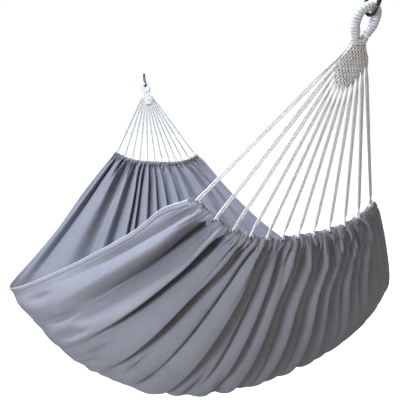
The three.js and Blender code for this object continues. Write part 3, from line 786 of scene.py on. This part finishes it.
def fold_depth(key, line, distance):
    """How deep the folds of one half are at each point"""
    fade = smooth((distance - FOLD_FADE_START[key]) / FOLD_FADE_LENGTH)
    depth = FOLD_PEAK[key] * smooth(distance / FOLD_RISE) * (1 - (1 - FOLD_REST[key]) * fade)
    for loss, first_line, lines, start, length in SHALLOWS:
        depth *= 1 - loss * smooth((line - first_line) / lines) * smooth((distance - start) / length)
    return depth


def fold_field(places, spread, ways, from_near, from_far):
    """How far each point of the cloth moves outward and sideways"""
    line = np.clip((spread + 1) / 2 * GAPS, 0, GAPS)
    near_share = smooth((ways - NEAR_HALF_FROM) / NEAR_HALF_OVER)
    outward = dents(line, ways)
    sideways = np.zeros_like(ways)
    for end, distance, share, folds in (
        (NEAR, from_near, near_share, NEAR_FOLDS),
        (FAR, from_far, 1 - near_share, FAR_FOLDS),
    ):
        key = end["name"]
        seed = FOLD_SEED[key]
        loose = smooth(distance / 0.2) * smooth(line / 0.5) * smooth((GAPS - line) / 0.5)
        moved = line + loose * wander(line, ways, seed)
        height = fold_heights(moved, distance, folds)
        lean = FOLD_LEAN * (1 + 0.3 * np.sin(2.2 * moved + seed))
        depth = fold_depth(key, line, distance)
        outward += share * end["side"] * depth * (height - FOLD_BIAS[key])
        sideways += share * lean * depth * smooth(distance / LEAN_RISE) * (height - 0.5)
        ruffle = RUFFLE_HEIGHT * np.exp(-distance / RUFFLE_REACH)
        outward += share * ruffle * ruffles(line, seed + 4, RUFFLES_PER_GAP)
        past_hold = np.maximum(distance - CREASE_HOLD, 0)
        crease = CREASE_HEIGHT * smooth(distance / CREASE_RISE) * np.exp(-past_hold / CREASE_REACH)
        outward += share * crease * ruffles(line, seed + 5, CREASES_PER_GAP)
    for at_line, at_distance, half_width, half_length, depth in SHORT_CREASES:
        off_line = (line - at_line) / half_width
        off_way = (from_near - at_distance) / half_length
        outward -= near_share * depth * np.exp(-(off_line**2) - off_way**2)
    from_side = 1 - np.abs(places)
    return outward * smooth(from_side / QUIET_EDGE), sideways * smooth(from_side / UPRIGHT_EDGE)


HALVINGS = 34


def hem_way(end, place):
    """The way at which the bed starts: one sleeve's depth from the hem, found by halving"""
    low = np.zeros_like(place)
    high = np.full_like(place, 0.2)
    hem = hem_point(end, spread_place(place, 0.0))
    inner = spread_place(place, SLEEVE_DEPTH)
    for _ in range(HALVINGS):
        middle = (low + high) / 2
        way = 1 - middle if end is NEAR else middle
        inside = np.linalg.norm(bed_point(inner, way) - hem, axis=-1) < SLEEVE_DEPTH
        low = np.where(inside, middle, low)
        high = np.where(inside, high, middle)
    return 1 - high if end is NEAR else high


def cloth_surface():
    """The folded cloth as rows of points from far hem to near hem, with its normals and lengths"""
    places = column_places()
    steps = np.linspace(0, 1, BED_ROWS + 1)
    steps = steps - ROW_CROWDING * np.sin(2 * math.pi * steps) / (2 * math.pi)
    first = hem_way(FAR, places)
    last = hem_way(NEAR, places)
    ways = first[None, :] + (last - first)[None, :] * steps[:, None]
    places = np.broadcast_to(places, ways.shape)
    spread = spread_place(places, CLOTH_LENGTH * np.minimum(1 - ways, ways))
    base = bed_point(spread, ways)
    across = np.gradient(base, axis=1)
    along = np.gradient(base, axis=0)
    outward = unit(np.cross(across, along))
    side = -np.sign(outward[BED_ROWS // 2, BED_COLUMNS // 2, 2])
    outward = outward * side
    from_far = lengths_along(base) + SLEEVE_DEPTH
    from_near = from_far[-1:] - from_far + SLEEVE_DEPTH
    lift, shift = fold_field(places, spread, ways, from_near, from_far)
    points = base + outward * lift[..., None] + unit(across) * shift[..., None]
    normals = side * unit(np.cross(np.gradient(points, axis=1), np.gradient(points, axis=0)))
    return points, normals, from_far


def make_bed(material):
    """The bed cloth, and its points and normals for what is sewn to it"""
    points, normals, from_far = cloth_surface()
    mesh, column, row = grid_mesh(BED_COLUMNS, BED_ROWS)
    put_points(mesh, points[row, column])
    set_uvs(mesh, (column_places()[column] + 1) / 2 * CLOTH_WIDTH, from_far[row, column])
    bed = finish_mesh("bed_cloth", mesh, material, "hammock", ["bed"])
    thicken(bed, CLOTH_THICKNESS)
    return bed, points, normals


# Section of a side hem, from its inner edge to its fold: shares of its width and heights in metres
SIDE_HEM_WIDTH = 0.012
SIDE_HEM_COLUMNS = 53
HEM_FOLD = 0.014
HEM_THICKNESS = 0.0009
SIDE_HEM_HALF = (
    (1.0, 0.0009),
    (0.85, 0.0014),
    (0.6, 0.0014),
    (0.35, 0.0014),
    (0.15, 0.0014),
    (0.04, 0.0013),
    (-0.03, 0.0007),
)
SIDE_HEM_SECTION = (
    *SIDE_HEM_HALF,
    (-0.05, 0.0),
    *((share, -height) for share, height in reversed(SIDE_HEM_HALF)),
)


def from_edge(rows, values, insets):
    """Values of each row of points at distances in from its first point"""
    return np.stack([points_at(insets, lengths_along(row), value) for row, value in zip(rows, values)])


def make_side_hem(name, rows, normals, material):
    """A long edge of the cloth folded over and sewn: a flat U round the edge"""
    insets = np.array([share * SIDE_HEM_WIDTH for share, _ in SIDE_HEM_SECTION])
    offsets = np.array([offset for _, offset in SIDE_HEM_SECTION])
    beyond = unit(rows[:, 0] - rows[:, 3])
    line = from_edge(rows, rows, np.maximum(insets, 0))
    line = line - beyond[:, None] * np.minimum(insets, 0)[:, None]
    directions = from_edge(rows, normals, np.maximum(insets, 0))
    layers = line + unit(directions) * offsets[:, None]
    mesh, column, row = grid_mesh(len(rows) - 1, len(insets) - 1)
    put_points(mesh, layers[column, row])
    around = np.concatenate([[0], np.cumsum(np.abs(np.diff(insets)) + 0.0002)])
    around = around - around[-1] / 2 + HEM_FOLD
    set_uvs(mesh, lengths_along(rows[:, 0])[column], around[row])
    hem = finish_mesh(name, mesh, material, "hammock")
    thicken(hem, HEM_THICKNESS)
    return hem


# Sleeve: the width of its strip, how far it puckers at the crown and on its tails, and its slits
STRIP_WIDTH = 0.062
CROWN_STEPS = 11
CROWN_PUCKER = 0.0009
CROWN_WRINKLE = 0.0004
TAIL_STEPS = 9
TAIL_END = 1.06
TAIL_START = 0.25
TAIL_MEETS = 0.75
TAIL_PUCKER = 0.0030
TAIL_WRINKLE = 0.0011
WRINKLES_PER_GAP = 8.0
SLEEVE_SEED = {"near": 16, "far": 35}
ROPE_DIP = 0.004
ROPE_ENDS = (-1.012, 1.03)
ROPE_STEP = 0.0016
SLIT_HALF = 0.0056
SLIT_DEPTH = 0.0098
SLIT_SEARCH = 0.014
SLIT_RISE = 0.006
CROWN_OPENING = 0.0090
CROWN_DEPTH = 0.0048


def hem_line(end, places):
    """Middle line of the hem rope: it dips a little between the cords"""
    inside = (places + 1) / 2 * GAPS
    dip = ROPE_DIP * np.sin(math.pi * np.clip(inside, 0, GAPS)) ** 2
    hem = hem_point(end, places)
    inward = unit(bed_point(places, 0.97 if end is NEAR else 0.03) - hem)
    return hem + inward * dip[:, None]


def make_sleeve(end, material, bed_row, bed_out):
    """Cloth folded round the hem rope and sewn to the bed, ruffled, with a slit at each cord"""
    places = spread_place(column_places(), 0.0)
    hem = hem_line(end, places)
    tail = bed_row - hem
    tail_length = np.linalg.norm(tail, axis=1)
    down = unit(tail)
    out = unit(bed_out - down * np.sum(bed_out * down, axis=1, keepdims=True))
    line = (places + 1) / 2 * GAPS
    seed = SLEEVE_SEED[end["name"]]
    pucker = ruffles(line, seed, RUFFLES_PER_GAP)
    wrinkle = ruffles(line, seed + 9, WRINKLES_PER_GAP)
    radius = SLEEVE_RADIUS + CROWN_PUCKER * pucker + CROWN_WRINKLE * wrinkle
    relief = TAIL_PUCKER * pucker + TAIL_WRINKLE * wrinkle

    def tail_layer(step, face):
        gap = SLEEVE_RADIUS * (1 - smooth(step / TAIL_MEETS)) + HEM_THICKNESS
        return step * tail_length, face * gap + relief * math.sin(math.pi * min(step, 1.0))

    sections = [tail_layer(step, 1) for step in np.linspace(TAIL_END, TAIL_START, TAIL_STEPS)]
    for angle in np.linspace(math.pi / 2, -math.pi / 2, CROWN_STEPS):
        sections.append((-np.cos(angle) * radius, np.sin(angle) * radius))
    sections += [tail_layer(step, -1) for step in np.linspace(TAIL_START, TAIL_END, TAIL_STEPS)]
    layers = np.array([hem + down * back[:, None] + out * side[:, None] for back, side in sections])
    mesh, column, row = grid_mesh(BED_COLUMNS, len(sections) - 1)
    put_points(mesh, layers[row, column])
    set_uvs(mesh, (places[column] + 1) / 2 * CLOTH_WIDTH, row * STRIP_WIDTH / (len(sections) - 1))
    bm = bmesh.new()
    bm.from_mesh(mesh)
    bpy.data.meshes.remove(mesh)
    cut_slits(bm, end, places, hem, down)
    bmesh.ops.recalc_face_normals(bm, faces=bm.faces)
    sleeve = finish_piece(end, "sleeve", "ruffled", bm, material)
    thicken(sleeve, HEM_THICKNESS)
    return sleeve


def cut_slits(bm, end, places, hem, down):
    """Opens the sleeve's crown where each cord goes round the rope"""
    cords = hem_point(end, CORD_PLACES)
    columns = np.array([int(np.argmin(np.abs(places - place))) for place in CORD_PLACES])
    along = unit(hem[np.minimum(columns + 3, len(hem) - 1)] - hem[np.maximum(columns - 3, 0)])
    doomed = []
    for face in bm.faces:
        centre = np.array(face.calc_center_median())
        gaps = np.linalg.norm(cords - centre, axis=1)
        nearest = int(np.argmin(gaps))
        if gaps[nearest] < SLIT_SEARCH:
            offset = centre - cords[nearest]
            depth = max(float(np.dot(offset, down[columns[nearest]])) + SLIT_RISE, 0)
            beside = float(np.dot(offset, along[nearest]))
            for half, deep in ((SLIT_HALF, SLIT_DEPTH), (CROWN_OPENING, CROWN_DEPTH)):
                if (beside / half) ** 2 + (depth / deep) ** 2 < 1:
                    doomed.append(face)
                    break
    bmesh.ops.delete(bm, geom=doomed, context="FACES")


def make_hem_rope(end, material):
    """Laid rope inside the sleeve, showing a little at both ends"""
    bm = new_bmesh()
    path = even_path(hem_line(end, np.linspace(*ROPE_ENDS, 260)), ROPE_STEP)
    add_rod(bm, path, ROPE_RADIUS, 15, ROPE_LAY)
    finish_piece(end, "hem_rope", "laid", bm, material)


CORD_INTO_HEAD = 0.006
CORD_SOFTENING = 5
LOOP_STEPS = 12


def head_exit(end, place):
    """Where a cord leaves the head"""
    sweep = math.pi / 2 * place
    down = HEAD_SHOULDER + (HEAD_LENGTH - HEAD_SHOULDER) * math.cos(sweep)
    return on_hanger(end, HEAD_HALF_WIDTH * math.sin(sweep), -down, 0)


def cord_path(end, place):
    """One doubled cord: down from the head, round the hem rope, and back up beside itself"""
    hem = hem_point(end, place)
    edges = hem_point(end, np.array([place - 0.01, place + 0.01]))
    along = unit(edges[1] - edges[0])
    exit_point = head_exit(end, place)
    reach = np.linalg.norm(exit_point - hem)
    rising = (exit_point - hem) / reach
    beside = unit(along - rising * np.dot(along, rising))
    outward = np.cross(rising, beside)
    if outward[0] * end["side"] < 0:
        outward = -outward
    half = STRAND_SPACING / 2

    def at(up, out, side):
        return hem + rising * up + outward * out + beside * side

    inner = reach + CORD_INTO_HEAD
    points = [at(inner, half, 0), at(reach, half, 0), at(reach - PAIR_TURN, 0, -half)]
    points.append(at(PAIR_MEET, 0, -half))
    for step in range(LOOP_STEPS + 1):
        angle = math.pi * step / LOOP_STEPS
        side = half * (2 * step / LOOP_STEPS - 1)
        points.append(at(-LOOP_RADIUS * math.sin(angle), LOOP_RADIUS * math.cos(angle), side))
    points.append(at(PAIR_MEET, 0, half))
    points += [at(reach - PAIR_TURN, 0, half), at(reach, -half, 0), at(inner, -half, 0)]
    return rounded_path(points, PATH_STEP, CORD_SOFTENING)


def make_cords(end, material):
    """The doubled cords of one end, numbered from the left"""
    for index, place in enumerate(CORD_PLACES):
        bm = new_bmesh()
        add_rod(bm, cord_path(end, place), STRAND_RADIUS, 12, CORD_LAY)
        finish_piece(end, f"cord_{index + 1:02d}", "laid", bm, material)


def head_half_width(down):
    """Half the head's width at a distance down from its top, by its outline"""
    down = np.asarray(down, float)
    flare = (HEAD_HALF_WIDTH - HEAD_TOP_HALF_WIDTH) * smooth(down / HEAD_SHOULDER)
    share = np.clip((down - HEAD_SHOULDER) / (HEAD_LENGTH - HEAD_SHOULDER), 0, 1)
    rounded = HEAD_HALF_WIDTH * np.sqrt(1 - share**2)
    return np.where(down <= HEAD_SHOULDER, HEAD_TOP_HALF_WIDTH + flare, rounded)


HEAD_HALF_DEPTH = 0.0052
HEAD_CORE_INSET = 0.0022
HEAD_CORE_LEAST = 0.0015
HEAD_CORE_RINGS = 40
HEAD_CORE_SIDES = 28
PLAIT_RADIUS = 0.00185
PLAIT_CELL = 0.0052
PLAIT_SLOPE = 0.5
PLAIT_WAVE = 0.0007
PLAIT_INSET = 0.0012
PLAIT_MARGIN = 0.001
PLAIT_STEP = 0.0012
EDGE_RADIUS = 0.0026
HEAD_EDGE_SHARE = 0.45
HEAD_FULLNESS = 1.6


def head_depth(across, down):
    """Half the head's thickness, fuller in the middle"""
    edge = 1 - np.abs(across) / np.maximum(head_half_width(down), 1e-4)
    fullness = np.sqrt(np.clip(edge * HEAD_FULLNESS, 0, 1))
    return HEAD_HALF_DEPTH * (HEAD_EDGE_SHARE + (1 - HEAD_EDGE_SHARE) * fullness)


def make_head_core(bm, end):
    """A closed pillow under the plait, so that nothing shows through it"""
    mesh, column, row = grid_mesh(HEAD_CORE_SIDES, HEAD_CORE_RINGS)
    downs = np.linspace(0.0012, HEAD_LENGTH - 0.002, HEAD_CORE_RINGS + 1)[row]
    half = np.maximum(head_half_width(downs) - HEAD_CORE_INSET, HEAD_CORE_LEAST)
    angle = 2 * math.pi * column / HEAD_CORE_SIDES
    across = half * np.cos(angle)
    out = (HEAD_HALF_DEPTH - PLAIT_WAVE) * np.sin(angle) * np.minimum(half / 0.010, 1)
    put_points(mesh, on_hanger(end, across, -downs, out))
    scale_uvs(mesh, 0.1, HEAD_LENGTH)
    add_closed(bm, mesh, 1e-6)


def plait_strand(end, start, direction, face):
    """One strand of the plait, or None: it slants one way and goes over and under the other set"""
    downs = np.arange(PLAIT_MARGIN, HEAD_LENGTH, PLAIT_STEP)
    across = start + direction * PLAIT_SLOPE * downs
    half = head_half_width(downs)
    keep = np.abs(across) < half - PLAIT_INSET
    if keep.sum() < 4:
        return None
    first = int(np.argmax(keep))
    last = len(keep) - int(np.argmax(keep[::-1]))
    downs = downs[first:last]
    limit = half[first:last] - PLAIT_MARGIN
    across = np.clip(across[first:last], -limit, limit)
    wave = direction * np.cos(2 * math.pi * across / PLAIT_CELL)
    return on_hanger(end, across, -downs, face * (head_depth(across, downs) + PLAIT_WAVE * wave))


def make_head(end, material):
    """Plaited head: two slanting sets of strands on each face, a core and a cord round the edge"""
    bm = new_bmesh()
    make_head_core(bm, end)
    spread = HEAD_HALF_WIDTH + PLAIT_SLOPE * HEAD_LENGTH
    count = int(spread / PLAIT_CELL) + 1
    for face in (1, -1):
        for direction in (1, -1):
            for index in range(-count, count + 1):
                strand = plait_strand(end, index * PLAIT_CELL, direction, face)
                if strand is not None:
                    add_rod(bm, strand, PLAIT_RADIUS, 8, PLAIT_LAY)
    for side in (1, -1):
        downs = np.linspace(PLAIT_MARGIN, HEAD_LENGTH - 0.004, 60)
        edge = on_hanger(end, side * (head_half_width(downs) - PLAIT_INSET), -downs, 0)
        add_rod(bm, rounded_path(edge, PATH_STEP, 3), EDGE_RADIUS, 12, EDGE_LAY)
    finish_piece(end, "plaited_head", "woven", bm, material)


def eye_line(end):
    """Centre line of the eye, up one leg, round the bend and down the other"""
    half = [(FOOT_ACROSS, -0.008), (FOOT_ACROSS, 0.0003), (LEG_ACROSS, COLLAR_TOP)]
    for up in np.linspace(EYE_STRAIGHT_TOP, EYE_BEND_CENTRE, 14):
        share = float(smooth((up - EYE_STRAIGHT_TOP) / (EYE_WAIST - EYE_STRAIGHT_TOP)))
        half.append((LEG_ACROSS + (EYE_BEND - LEG_ACROSS) * share, up))
    arc = [
        (EYE_BEND * math.cos(angle), EYE_BEND_CENTRE + EYE_BEND * math.sin(angle))
        for angle in ARC[1:-1]
    ]
    line = half + arc + [(-across, up) for across, up in reversed(half)]
    return rounded_path([on_hanger(end, *point, 0) for point in line], 0.001, 6)


def make_eye_core(end, material):
    """Rope bent into the eye, under the winding"""
    bm = new_bmesh()
    add_rod(bm, eye_line(end), CORE_RADIUS, 16, CORE_LAY)
    finish_piece(end, "eye_core", "laid", bm, material)


WINDING_PITCH = 0.0044
WINDING_STEPS = 30
WINDING_HALF_WIDTH = 0.0026
WINDING_HALF_DEPTH = 0.0011
WINDING_FOOT = 0.0012
WINDING_GAP = 0.0002
BAND_WIDTH = 0.016
BAND_SIDES = 10
BEND_REACH = 0.0175
BEND_EASE = 0.02
SQUEEZED_INSIDE = 0.5
SPREAD_OUTSIDE = 0.38


def make_winding(end, material):
    """Flat cord wound round the eye, each turn against the last: squeezed inside the bend and
    spread outside it"""
    neck, _, rising, _ = hang_axes(end)
    line = eye_line(end)
    lengths = lengths_along(line)
    covered = np.where((line - neck) @ rising > COLLAR_TOP + WINDING_FOOT)[0]
    start = lengths[covered[0]]
    stop = lengths[covered[-1]]
    turns = (stop - start) / WINDING_PITCH
    share = np.linspace(0, 1, int(turns * WINDING_STEPS) + 1)
    centre = points_at(start + (stop - start) * share, lengths, line)
    side, other = path_frames(centre, (0, 1, 0))
    angle = 2 * math.pi * turns * share
    radial = side * np.cos(angle)[:, None] + other * np.sin(angle)[:, None]
    inner = unit(on_hanger(end, 0, EYE_BEND_CENTRE, 0) - centre)
    toward = np.sum(radial * inner, axis=1)
    in_bend = smooth(((centre - neck) @ rising - EYE_BEND_CENTRE + BEND_REACH) / BEND_EASE)
    narrow = 1 - SQUEEZED_INSIDE * np.clip(toward, 0, 1) * in_bend
    wide = 1 + SPREAD_OUTSIDE * np.clip(-toward, 0, 1) * in_bend
    path = centre + radial * (CORE_RADIUS + WINDING_HALF_DEPTH + WINDING_GAP)
    bm = new_bmesh()
    add_band(bm, path, radial, WINDING_HALF_WIDTH * narrow * wide)
    finish_piece(end, "eye_winding", "wound", bm, material)


def add_band(bm, path, radial, half_width):
    """A flattened cord along a path, lying flat on what it is wound round"""
    mesh, column, row = grid_mesh(BAND_SIDES, len(path) - 1)
    tangent = unit(np.gradient(path, axis=0))
    flat = unit(np.cross(tangent, radial))
    stand = unit(np.cross(flat, tangent))
    angle = 2 * math.pi * column / BAND_SIDES
    points = path[row] + flat[row] * (half_width[row] * np.cos(angle))[:, None]
    points = points + stand[row] * (WINDING_HALF_DEPTH * np.sin(angle))[:, None]
    put_points(mesh, points)
    scale_uvs(mesh, BAND_WIDTH, lengths_along(path)[-1])
    add_closed(bm, mesh)


COLLAR_TURNS = 4
COLLAR_STEPS = 48
COLLAR_FOOT = 0.0016
COLLAR_CORD = 0.00112
COLLAR_GAP = 0.0011
COLLAR_FLATNESS = 2.6
FILLER_RADIUS = 0.0042


def make_collar(end, material):
    """Fine cord wound tight round both legs of the eye, from the head up to the winding"""
    share = np.linspace(0, 1, COLLAR_TURNS * COLLAR_STEPS + 1)
    up = COLLAR_FOOT + (COLLAR_TOP - COLLAR_FOOT) * share
    leg = FOOT_ACROSS + (LEG_ACROSS - FOOT_ACROSS) * up / COLLAR_TOP
    margin = CORE_RADIUS + COLLAR_GAP
    angle = 2 * math.pi * COLLAR_TURNS * share
    squared = np.tanh(COLLAR_FLATNESS * np.cos(angle)) / math.tanh(COLLAR_FLATNESS)
    across = leg * squared + margin * np.cos(angle)
    bm = new_bmesh()
    add_rod(bm, on_hanger(end, across, up, margin * np.sin(angle)), COLLAR_CORD, 10, COLLAR_LAY)
    filler = on_hanger(end, 0, np.linspace(-0.001, COLLAR_TOP + 0.002, 12), 0)
    add_rod(bm, filler, FILLER_RADIUS, 14)
    finish_piece(end, "neck_collar", "wound", bm, material)


# The gate is forked: two cheeks stand beside the tongue of the bar, and the pin goes through all
BAR_FOOT_DROP = 0.0043
TONGUE_FOOT_DROP = 0.006
TONGUE_RISE = 0.0022
TONGUE_RADIUS = 0.0022
TONGUE_FLATNESS = 0.45
NOSE_GAP = 0.0004
GATE_ROOT = 0.0036
GATE_RINGS = 24
GATE_END_SHARE = 0.86
CHEEK_AT = 0.00205
CHEEK_HALF_WIDTH = 0.0026
CHEEK_DROP = 0.00275
CHEEK_RISE = 0.0014
CHEEK_RINGS = 12
CHEEK_ROUNDING = (0.62, 0.84, 0.96)
CHEEK_FLATNESS = 0.34
PIN_HALF_LENGTH = 0.0031
PIN_CHAMFER = 0.0004
PIN_RADIUS = 0.0011


def on_bar(end, out, up, across=0):
    """Points on the carabiner, at heights from its foot"""
    return on_hanger(end, across, HANG_TO_NECK + up, out)


def make_carabiner(end, steel):
    """Bent round bar, open between its nose and the tongue that carries the gate"""
    bend = CARABINER_BEND
    line = [on_bar(end, bend, up) for up in np.linspace(HINGE_UP - BAR_FOOT_DROP, bend, 3)]
    for angle in ARC[1:]:
        line.append(on_bar(end, bend * math.cos(angle), bend * (1 - math.sin(angle))))
    for angle in ARC:
        line.append(on_bar(end, -bend * math.cos(angle), STRAIGHT_TOP + bend * math.sin(angle)))
    line.append(on_bar(end, bend, NOSE_UP + NOSE_GAP))
    bm = new_bmesh()
    add_rod(bm, even_path(line, PATH_STEP), STOCK_RADIUS, 20)
    tongue = on_bar(end, bend, np.linspace(HINGE_UP - TONGUE_FOOT_DROP, HINGE_UP + TONGUE_RISE, 8))
    add_rod(bm, tongue, TONGUE_RADIUS, 16, first_side=hang_axes(end)[3], flatten=TONGUE_FLATNESS)
    finish_piece(end, "carabiner", "bar", bm, steel, "hangers")


def make_gate(end, steel):
    """Straight bar with a cheek on each side at its foot"""
    bm = new_bmesh()
    ups = np.linspace(HINGE_UP + GATE_ROOT, NOSE_UP, GATE_RINGS)
    radii = np.full(GATE_RINGS, STOCK_RADIUS)
    radii[[0, -1]] = STOCK_RADIUS * GATE_END_SHARE
    add_rod(bm, on_bar(end, CARABINER_BEND, ups), radii, 20)
    cheek_ups = np.linspace(HINGE_UP - CHEEK_DROP, HINGE_UP + GATE_ROOT + CHEEK_RISE, CHEEK_RINGS)
    cheek_radii = np.full(CHEEK_RINGS, CHEEK_HALF_WIDTH)
    cheek_radii[:3] = CHEEK_HALF_WIDTH * np.array(CHEEK_ROUNDING)
    for side in (-1, 1):
        cheek = on_bar(end, CARABINER_BEND, cheek_ups, side * CHEEK_AT)
        add_rod(bm, cheek, cheek_radii, 16, first_side=hang_axes(end)[3], flatten=CHEEK_FLATNESS)
    finish_piece(end, "gate", "bar", bm, steel, f"{end['name']}_gate")


def make_gate_pin(end, metal):
    """Round pin with chamfered ends, through both cheeks and the tongue"""
    bm = new_bmesh()
    shoulder = PIN_HALF_LENGTH - PIN_CHAMFER
    places = np.array([-PIN_HALF_LENGTH, -shoulder, shoulder, PIN_HALF_LENGTH])
    radii = np.array([PIN_RADIUS - PIN_CHAMFER, PIN_RADIUS, PIN_RADIUS, PIN_RADIUS - PIN_CHAMFER])
    add_rod(bm, on_bar(end, CARABINER_BEND, HINGE_UP, places), radii, 16, first_side=(0, 0, 1))
    finish_piece(end, "gate_pin", "round", bm, metal, "hangers")


FLOOR_HEIGHT = -1.35
FLOOR_HALF_SIZE = 30
FLOOR_TONES = (colour(0.90, 0.90, 0.90), colour(0.94, 0.94, 0.94))
SOFT_LIGHT = (0.99, 0.98, 1.0, 1)
SOFT_STRENGTH = 0.30

# Each lamp: its name, where it stands, what it points at, its size, its power and its tint
LAMPS = (
    ("key_light", (1.5, -2.7, -0.4), (0, 0, -0.6), 0.8, 84, (0.79, 0.87, 1.0)),
    ("top_light", (0.6, -1.0, 1.9), (-0.6, 0, -0.5), 0.8, 128, (0.74, 0.84, 1.0)),
    ("fill_light", (2.8, -0.3, -1.0), (0, 0, -0.9), 1.2, 15, (1.0, 0.94, 0.88)),
    ("back_light", (-1.9, 2.5, -0.1), (0, 0, -0.6), 1.2, 42, (1.0, 0.97, 0.94)),
)


def add_area(name, place, towards, size, power, tint):
    """An area lamp that points at a place"""
    light = bpy.data.lights.new(name, "AREA")
    light.size = size
    light.energy = power
    light.color = tint
    lamp = new_object(name, light)
    aim = (Vector(towards) - Vector(place)).to_track_quat("-Z", "Y")
    lamp.matrix_world = Matrix.Translation(place) @ aim.to_matrix().to_4x4()


def make_floor():
    """Pale floor that lights nothing, so that the studio's own light sets the shading"""
    nodes = Nodes("pale_floor")
    speckle = nodes.noise(nodes.coordinates("Object"), 6.0, 4.0, 0.5)
    nodes.surface(
        Base_Color=nodes.mix(nodes.between(speckle, 0.3, 0.7), *FLOOR_TONES),
        Roughness=0.9,
        Emission_Color=colour(1, 1, 1),
        Emission_Strength=0.9,
    )
    bm = new_bmesh()
    bmesh.ops.create_grid(bm, x_segments=4, y_segments=4, size=FLOOR_HALF_SIZE)
    bmesh.ops.translate(bm, verts=bm.verts, vec=(0, 0, FLOOR_HEIGHT))
    floor = new_object("studio_floor", as_mesh("studio_floor", bm))
    floor.data.materials.append(nodes.material)
    floor.visible_diffuse = False
    floor.visible_glossy = False


def light_studio():
    """White all round for the camera, and a dim soft light for the hammock, with four lamps"""
    world = bpy.data.worlds.new("studio")
    bpy.context.scene.world = world
    world.use_nodes = True
    tree = world.node_tree
    backdrop = tree.nodes["Background"]
    backdrop.inputs["Color"].default_value = (1, 1, 1, 1)
    soft = tree.nodes.new("ShaderNodeBackground")
    soft.inputs["Color"].default_value = SOFT_LIGHT
    soft.inputs["Strength"].default_value = SOFT_STRENGTH
    rays = tree.nodes.new("ShaderNodeLightPath")
    choose = tree.nodes.new("ShaderNodeMixShader")
    tree.links.new(rays.outputs["Is Camera Ray"], choose.inputs["Fac"])
    tree.links.new(soft.outputs["Background"], choose.inputs[1])
    tree.links.new(backdrop.outputs["Background"], choose.inputs[2])
    tree.links.new(choose.outputs["Shader"], tree.nodes["World Output"].inputs["Surface"])
    for lamp in LAMPS:
        add_area(*lamp)


aim_camera()
bpy.context.scene.view_settings.view_transform = "Standard"
bpy.context.scene.view_settings.look = "None"

cotton = make_cotton("laid_cotton_cord", colour(0.57, 0.56, 0.54), colour(0.50, 0.49, 0.47))
# The far cords' cotton is the same cotton painted darker: painted shade for the cords of the far end
far_shaded_cotton = make_cotton("laid_cotton_cord_painted_shade", colour(0.35, 0.35, 0.33), colour(0.31, 0.31, 0.29))
winding_cotton = make_cotton("wound_cotton_cord", colour(0.60, 0.595, 0.58), colour(0.48, 0.475, 0.46))
plait_cotton = make_plait_cotton()
cloth = make_cloth("brushed_grey_cloth")
sleeve_cloth = make_cloth("sleeve_cloth", (0.0045, 0.0575))
# The side hems get a painted highlight along their fold
hem_cloth = make_cloth("side_hem_cloth", (0.002, 0.026), HEM_FOLD)
steel = make_black_steel()
pin_metal = make_pin_steel()

for end in (NEAR, FAR):
    make_cords(end, cotton if end is NEAR else far_shaded_cotton)
    make_head(end, plait_cotton)
    make_eye_core(end, winding_cotton)
    make_winding(end, winding_cotton)
    make_collar(end, winding_cotton)
    make_carabiner(end, steel)
    make_gate(end, steel)
    make_gate_pin(end, pin_metal)

bed, bed_points, bed_normals = make_bed(cloth)
near_sleeve = make_sleeve(NEAR, sleeve_cloth, bed_points[-1], bed_normals[-1])
far_sleeve = make_sleeve(FAR, sleeve_cloth, bed_points[0], bed_normals[0])
left = slice(None, SIDE_HEM_COLUMNS)
right = slice(None, -SIDE_HEM_COLUMNS - 1, -1)
left_hem = make_side_hem("left_side_hem", bed_points[:, left], bed_normals[:, left], hem_cloth)
right_hem = make_side_hem("right_side_hem", bed_points[:, right], bed_normals[:, right], hem_cloth)
make_hem_rope(NEAR, cotton)
make_hem_rope(FAR, cotton)

make_floor()
light_studio()
